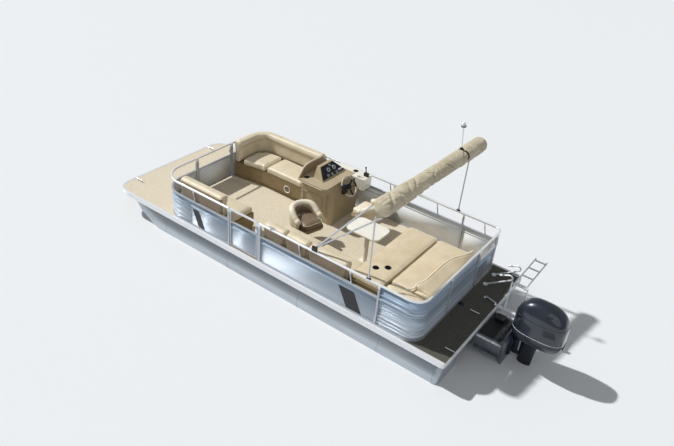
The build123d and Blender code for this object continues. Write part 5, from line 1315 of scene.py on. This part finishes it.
class BOAT_OT_aft_deck(bpy.types.Operator):
    """Small fittings of the aft deck, the carpet at its corner, what stands in the engine well, and its rivets"""
    bl_idname = "boat.aft_deck_fittings"
    bl_label = "Aft deck fittings"

    def execute(self, context):
        top, well, flange = DECK + 0.0006, 0.380, 0.3702
        lathe("fuel_cap", (-2.97, 0.0, top), (0, 0, 1),
              [(0.045, 0), (0.045, 0.006), (0.036, 0.010), (0.034, 0.016), (0.026, 0.018), (0, 0.018)], "black", "hull")
        feet = ((-3.170, -0.400), (-3.370, -0.345))
        tube("deck_bar", resample(raised(feet, top + 0.02), 14), 0.013, "chrome", "hull", 12)
        for number, foot in enumerate(feet):
            lathe(f"deck_bar_foot_{number + 1}", (*foot, top), (0, 0, 1),
                  [(0.024, 0), (0.022, 0.006), (0.012, 0.010), (0.010, 0.02), (0, 0.02)], "chrome", "hull", 16)
        box_piece("well_pad", (-3.755, -0.275, flange), (-3.42, 0.275, well), "rubber", "hull")
        # carpet outside the fence's port aft corner, between its bend and the trim
        x, y, count = FENCE_STERN + 0.22, FENCE_SIDE - 0.22, 24
        bend = arc((x, y), 0.238, 90, 180, count)
        rim = resample([(x, 1.2578), (-2.932, 1.2578), (-2.932, y)], count)
        patch = np.stack([raised(plan, top + rise)
                          for plan, rise in ((bend, -0.0004), (bend, 0.0008), (rim, 0.0008), (rim, -0.0004))])
        put("corner_carpet", patch, strip_faces(4, count), "carpet", "hull", False)
        # the outboard's steering ram and rod, the clamp screws with their bars, and a pump in the well
        bars = [("steering_ram", line_of(-3.772, (-0.17, 0.17), 0.500), 0.021),
                ("steering_rod", line_of(-3.772, (-0.235, 0.235), 0.500), 0.009)]
        bars += [(f"clamp_screw_{word}", line_of((-3.735, -3.640), side * 0.10, 0.385), 0.009) for side, word in SIDES]
        bars += [(f"clamp_bar_{word}", line_of(-3.645, side * 0.10, (0.425, 0.384)), 0.006) for side, word in SIDES]
        for name, line, radius in bars:
            tube(name, resample(line, 8), radius, "casting", "hull", 12)
        for side, word in SIDES:
            box_piece(f"steering_end_{word}", (-3.792, side * 0.235 - 0.012, 0.415),
                      (-3.752, side * 0.235 + 0.012, 0.520), "casting", "hull")
        box_piece("well_pump", (-3.62, -0.235, well), (-3.48, -0.10, 0.452), "black", "hull", 0.012)
        # bright trim strips on the pod's flanges: a painted highlight along their lit tops
        for word, edge in (("port", 0.3215), ("starboard", -0.3635)):
            box_piece(f"flange_strip_{word}", (-3.796, edge, flange), (-3.415, edge + 0.042, flange + 0.001), "trim",
                      "hull", 0.0)
        for number, y in enumerate((-0.344, 0.344)):
            for mark, spot in enumerate(line_of(np.linspace(-3.77, -3.44, 6), y, flange + 0.0009)):
                lathe(f"flange_rivet_{number + 1}_{mark + 1}", spot, (0, 0, 1),
                      [(0.008, 0), (0.006, 0.0035), (0, 0.0045)], "structure", "hull", 10)
        return {"FINISHED"}


class BOAT_OT_outboard(bpy.types.Operator):
    """The outboard's cowl with its seams, vents and grab recess, its latch, and the leg's anode"""
    bl_idname = "boat.outboard"
    bl_label = "Outboard"

    def execute(self, context):
        cowl_front, length, width = -3.795, 0.740, 0.430
        centre = cowl_front - length / 2
        low, tall = 0.4957, 0.6535
        square, shoulder = 0.7, 0.46

        def dome(share):
            """The share of the way up from the shoulder."""
            return np.clip((share - shoulder) / (1 - shoulder), 0, 1)

        def girth(share):
            """The cowl's size over its height: drawn in by a tenth at the foot, and by sqrt(1 - dome^2.6) above."""
            foot = 1 - 0.10 * np.clip(1 - share / 0.14, 0, 1) ** 2
            return foot * np.sqrt(np.clip(1 - dome(share) ** 2.6, 0.0016, 1))

        def lead(share):
            """How far the dome's middle stands forward."""
            return 0.026 * dome(share) ** 2

        def ring(share, out=0.0):
            """The line round the cowl at a share of its height, moved out: a rounded oblong, of
            half length · |cos a|^0.7 beside half width · |sin a|^0.7."""
            size = girth(share)
            x, y = squircle(turns(96), square)
            return line_of((length / 2 * size + out) * x + (centre + lead(share)), (width / 2 * size + out) * y,
                           low + tall * share)

        def side_line(x, share, side=1):
            """A level line on the cowl's side, between places along it."""
            size = girth(share)
            y = width / 2 * size * (1 - (np.abs(x) / (length / 2 * size)) ** (2 / square)) ** (square / 2)
            return line_of(x + centre + lead(share), side * y, low + tall * share)

        shares = np.r_[np.linspace(0, 0.5, 16), 0.5 + 0.5 * np.sin(np.linspace(0, np.pi / 2, 26)[1:])]
        cowl = closed_piece("cowl_shell", np.stack([ring(share) for share in shares]), "cowl", "engine")
        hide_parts("engine_cowl")

        # the joint between cowl and pan, under a rubber seal, a thin pale line above it, and the top's dark joint
        for key, height, out, radius, finish in (("seal", 0.600, -0.001, 0.0055, "rubber"),
                                                 ("line", 0.645, 0.0002, 0.0026, "scale"),
                                                 ("joint", 0.905, -0.001, 0.0045, "black")):
            tube("cowl_" + key, looped(ring((height - low) / tall, out)), radius, finish, "engine", 8)
        # five louvres on each side
        for side, word in SIDES:
            for number in range(5):
                share = (0.775 + 0.022 * number - low) / tall
                vent = side_line(np.linspace(-0.27 + 0.008 * number, -0.09, 16), share, side)
                tube(f"cowl_vent_{word}_{number + 1}", vent, 0.0052, "black", "engine", 8)
        # the grab recess over the dome's aft shoulder
        tube("cowl_recess", side_line(np.linspace(-0.16, -0.08, 12), 0.86), 0.012, "black", "engine", 10)
        aft = centre - length / 2
        box_piece("cowl_latch", (aft - 0.008, -0.035, 0.545), (aft + 0.03, 0.035, 0.59), "black", "engine", 0.006)
        box_piece("trim_anode", (-4.26, -0.012, -0.292), (-4.14, 0.012, -0.2505), "structure", "engine", 0.005)
        return {"FINISHED"}


class BOAT_OT_rail_fittings(bpy.types.Operator):
    """Latches on the gates, a cleat on the port rail, and screws along the deck's trim"""
    bl_idname = "boat.rail_fittings"
    bl_label = "Rail fittings"

    def execute(self, context):
        top = DECK + 0.7162
        s, f, a = FENCE_SIDE, FENCE_FRONT, FENCE_STERN
        # a latch on each gate: name, body, centre
        for name, body, centre in (("bow_latch", "bow_gate", (f + 0.016, -0.360, DECK + 0.555)),
                                   ("side_latch", "side_gate", (0.020, s + 0.016, DECK + 0.555)),
                                   ("stern_latch", "stern_gate", (a - 0.016, -0.500, DECK + 0.555))):
            centre = np.array(centre)
            half = np.array([0.005, 0.018, 0.026]) if name != "side_latch" else np.array([0.018, 0.005, 0.026])
            box_piece(name, centre - half, centre + half, "chrome", body, 0.003)
        lathe("rail_cleat_foot", (-0.284, s, top - 0.0005), (0, 0, 1),
              [(0.030, 0), (0.028, 0.004), (0.012, 0.008), (0.011, 0.026), (0, 0.026)], "chrome", "hull", 16)
        tube("rail_cleat", resample(line_of((-0.364, -0.204), s, top + 0.030), 10), 0.009, "chrome", "hull", 12)
        spots = [(side, x) for side in (1, -1) for x in np.linspace(-3.25, 3.0, 18)]
        for number, (side, x) in enumerate(spots):
            lathe(f"trim_screw_{number + 1}", (x, side * 1.2995, DECK - 0.0215), (0, side, 0),
                  [(0.007, 0), (0.0055, 0.0006), (0, 0.0008)], "chrome", "hull", 8)
        return {"FINISHED"}


class BOAT_PT_panel(bpy.types.Panel):
    """The boat's tools"""
    bl_idname = "BOAT_PT_panel"
    bl_label = "Pontoon boat"
    bl_space_type = "VIEW_3D"
    bl_region_type = "UI"
    bl_category = "Boat"

    def draw(self, context):
        for operator in OPERATORS:
            self.layout.operator(operator.bl_idname)
        for key in BoatSettings.__annotations__:
            self.layout.prop(context.scene.boat_settings, key)


OPERATORS = (BOAT_OT_stage, BOAT_OT_finishes, BOAT_OT_sheets, BOAT_OT_floats, BOAT_OT_rail_fittings,
             BOAT_OT_bow_lounges, BOAT_OT_side_lounge, BOAT_OT_chairs, BOAT_OT_sun_deck, BOAT_OT_folded_top,
             BOAT_OT_helm, BOAT_OT_table, BOAT_OT_aft_deck, BOAT_OT_outboard)
CLASSES = (BoatSettings, *OPERATORS, BOAT_PT_panel)


def register():
    for one in CLASSES:
        bpy.utils.register_class(one)
    bpy.types.Scene.boat_settings = PointerProperty(type=BoatSettings)


def unregister():
    del bpy.types.Scene.boat_settings
    for one in reversed(CLASSES):
        bpy.utils.unregister_class(one)


def main():
    register()
    for operator in OPERATORS:
        group, name = operator.bl_idname.split(".")
        getattr(getattr(bpy.ops, group), name)()


if __name__ == "__main__":
    main()
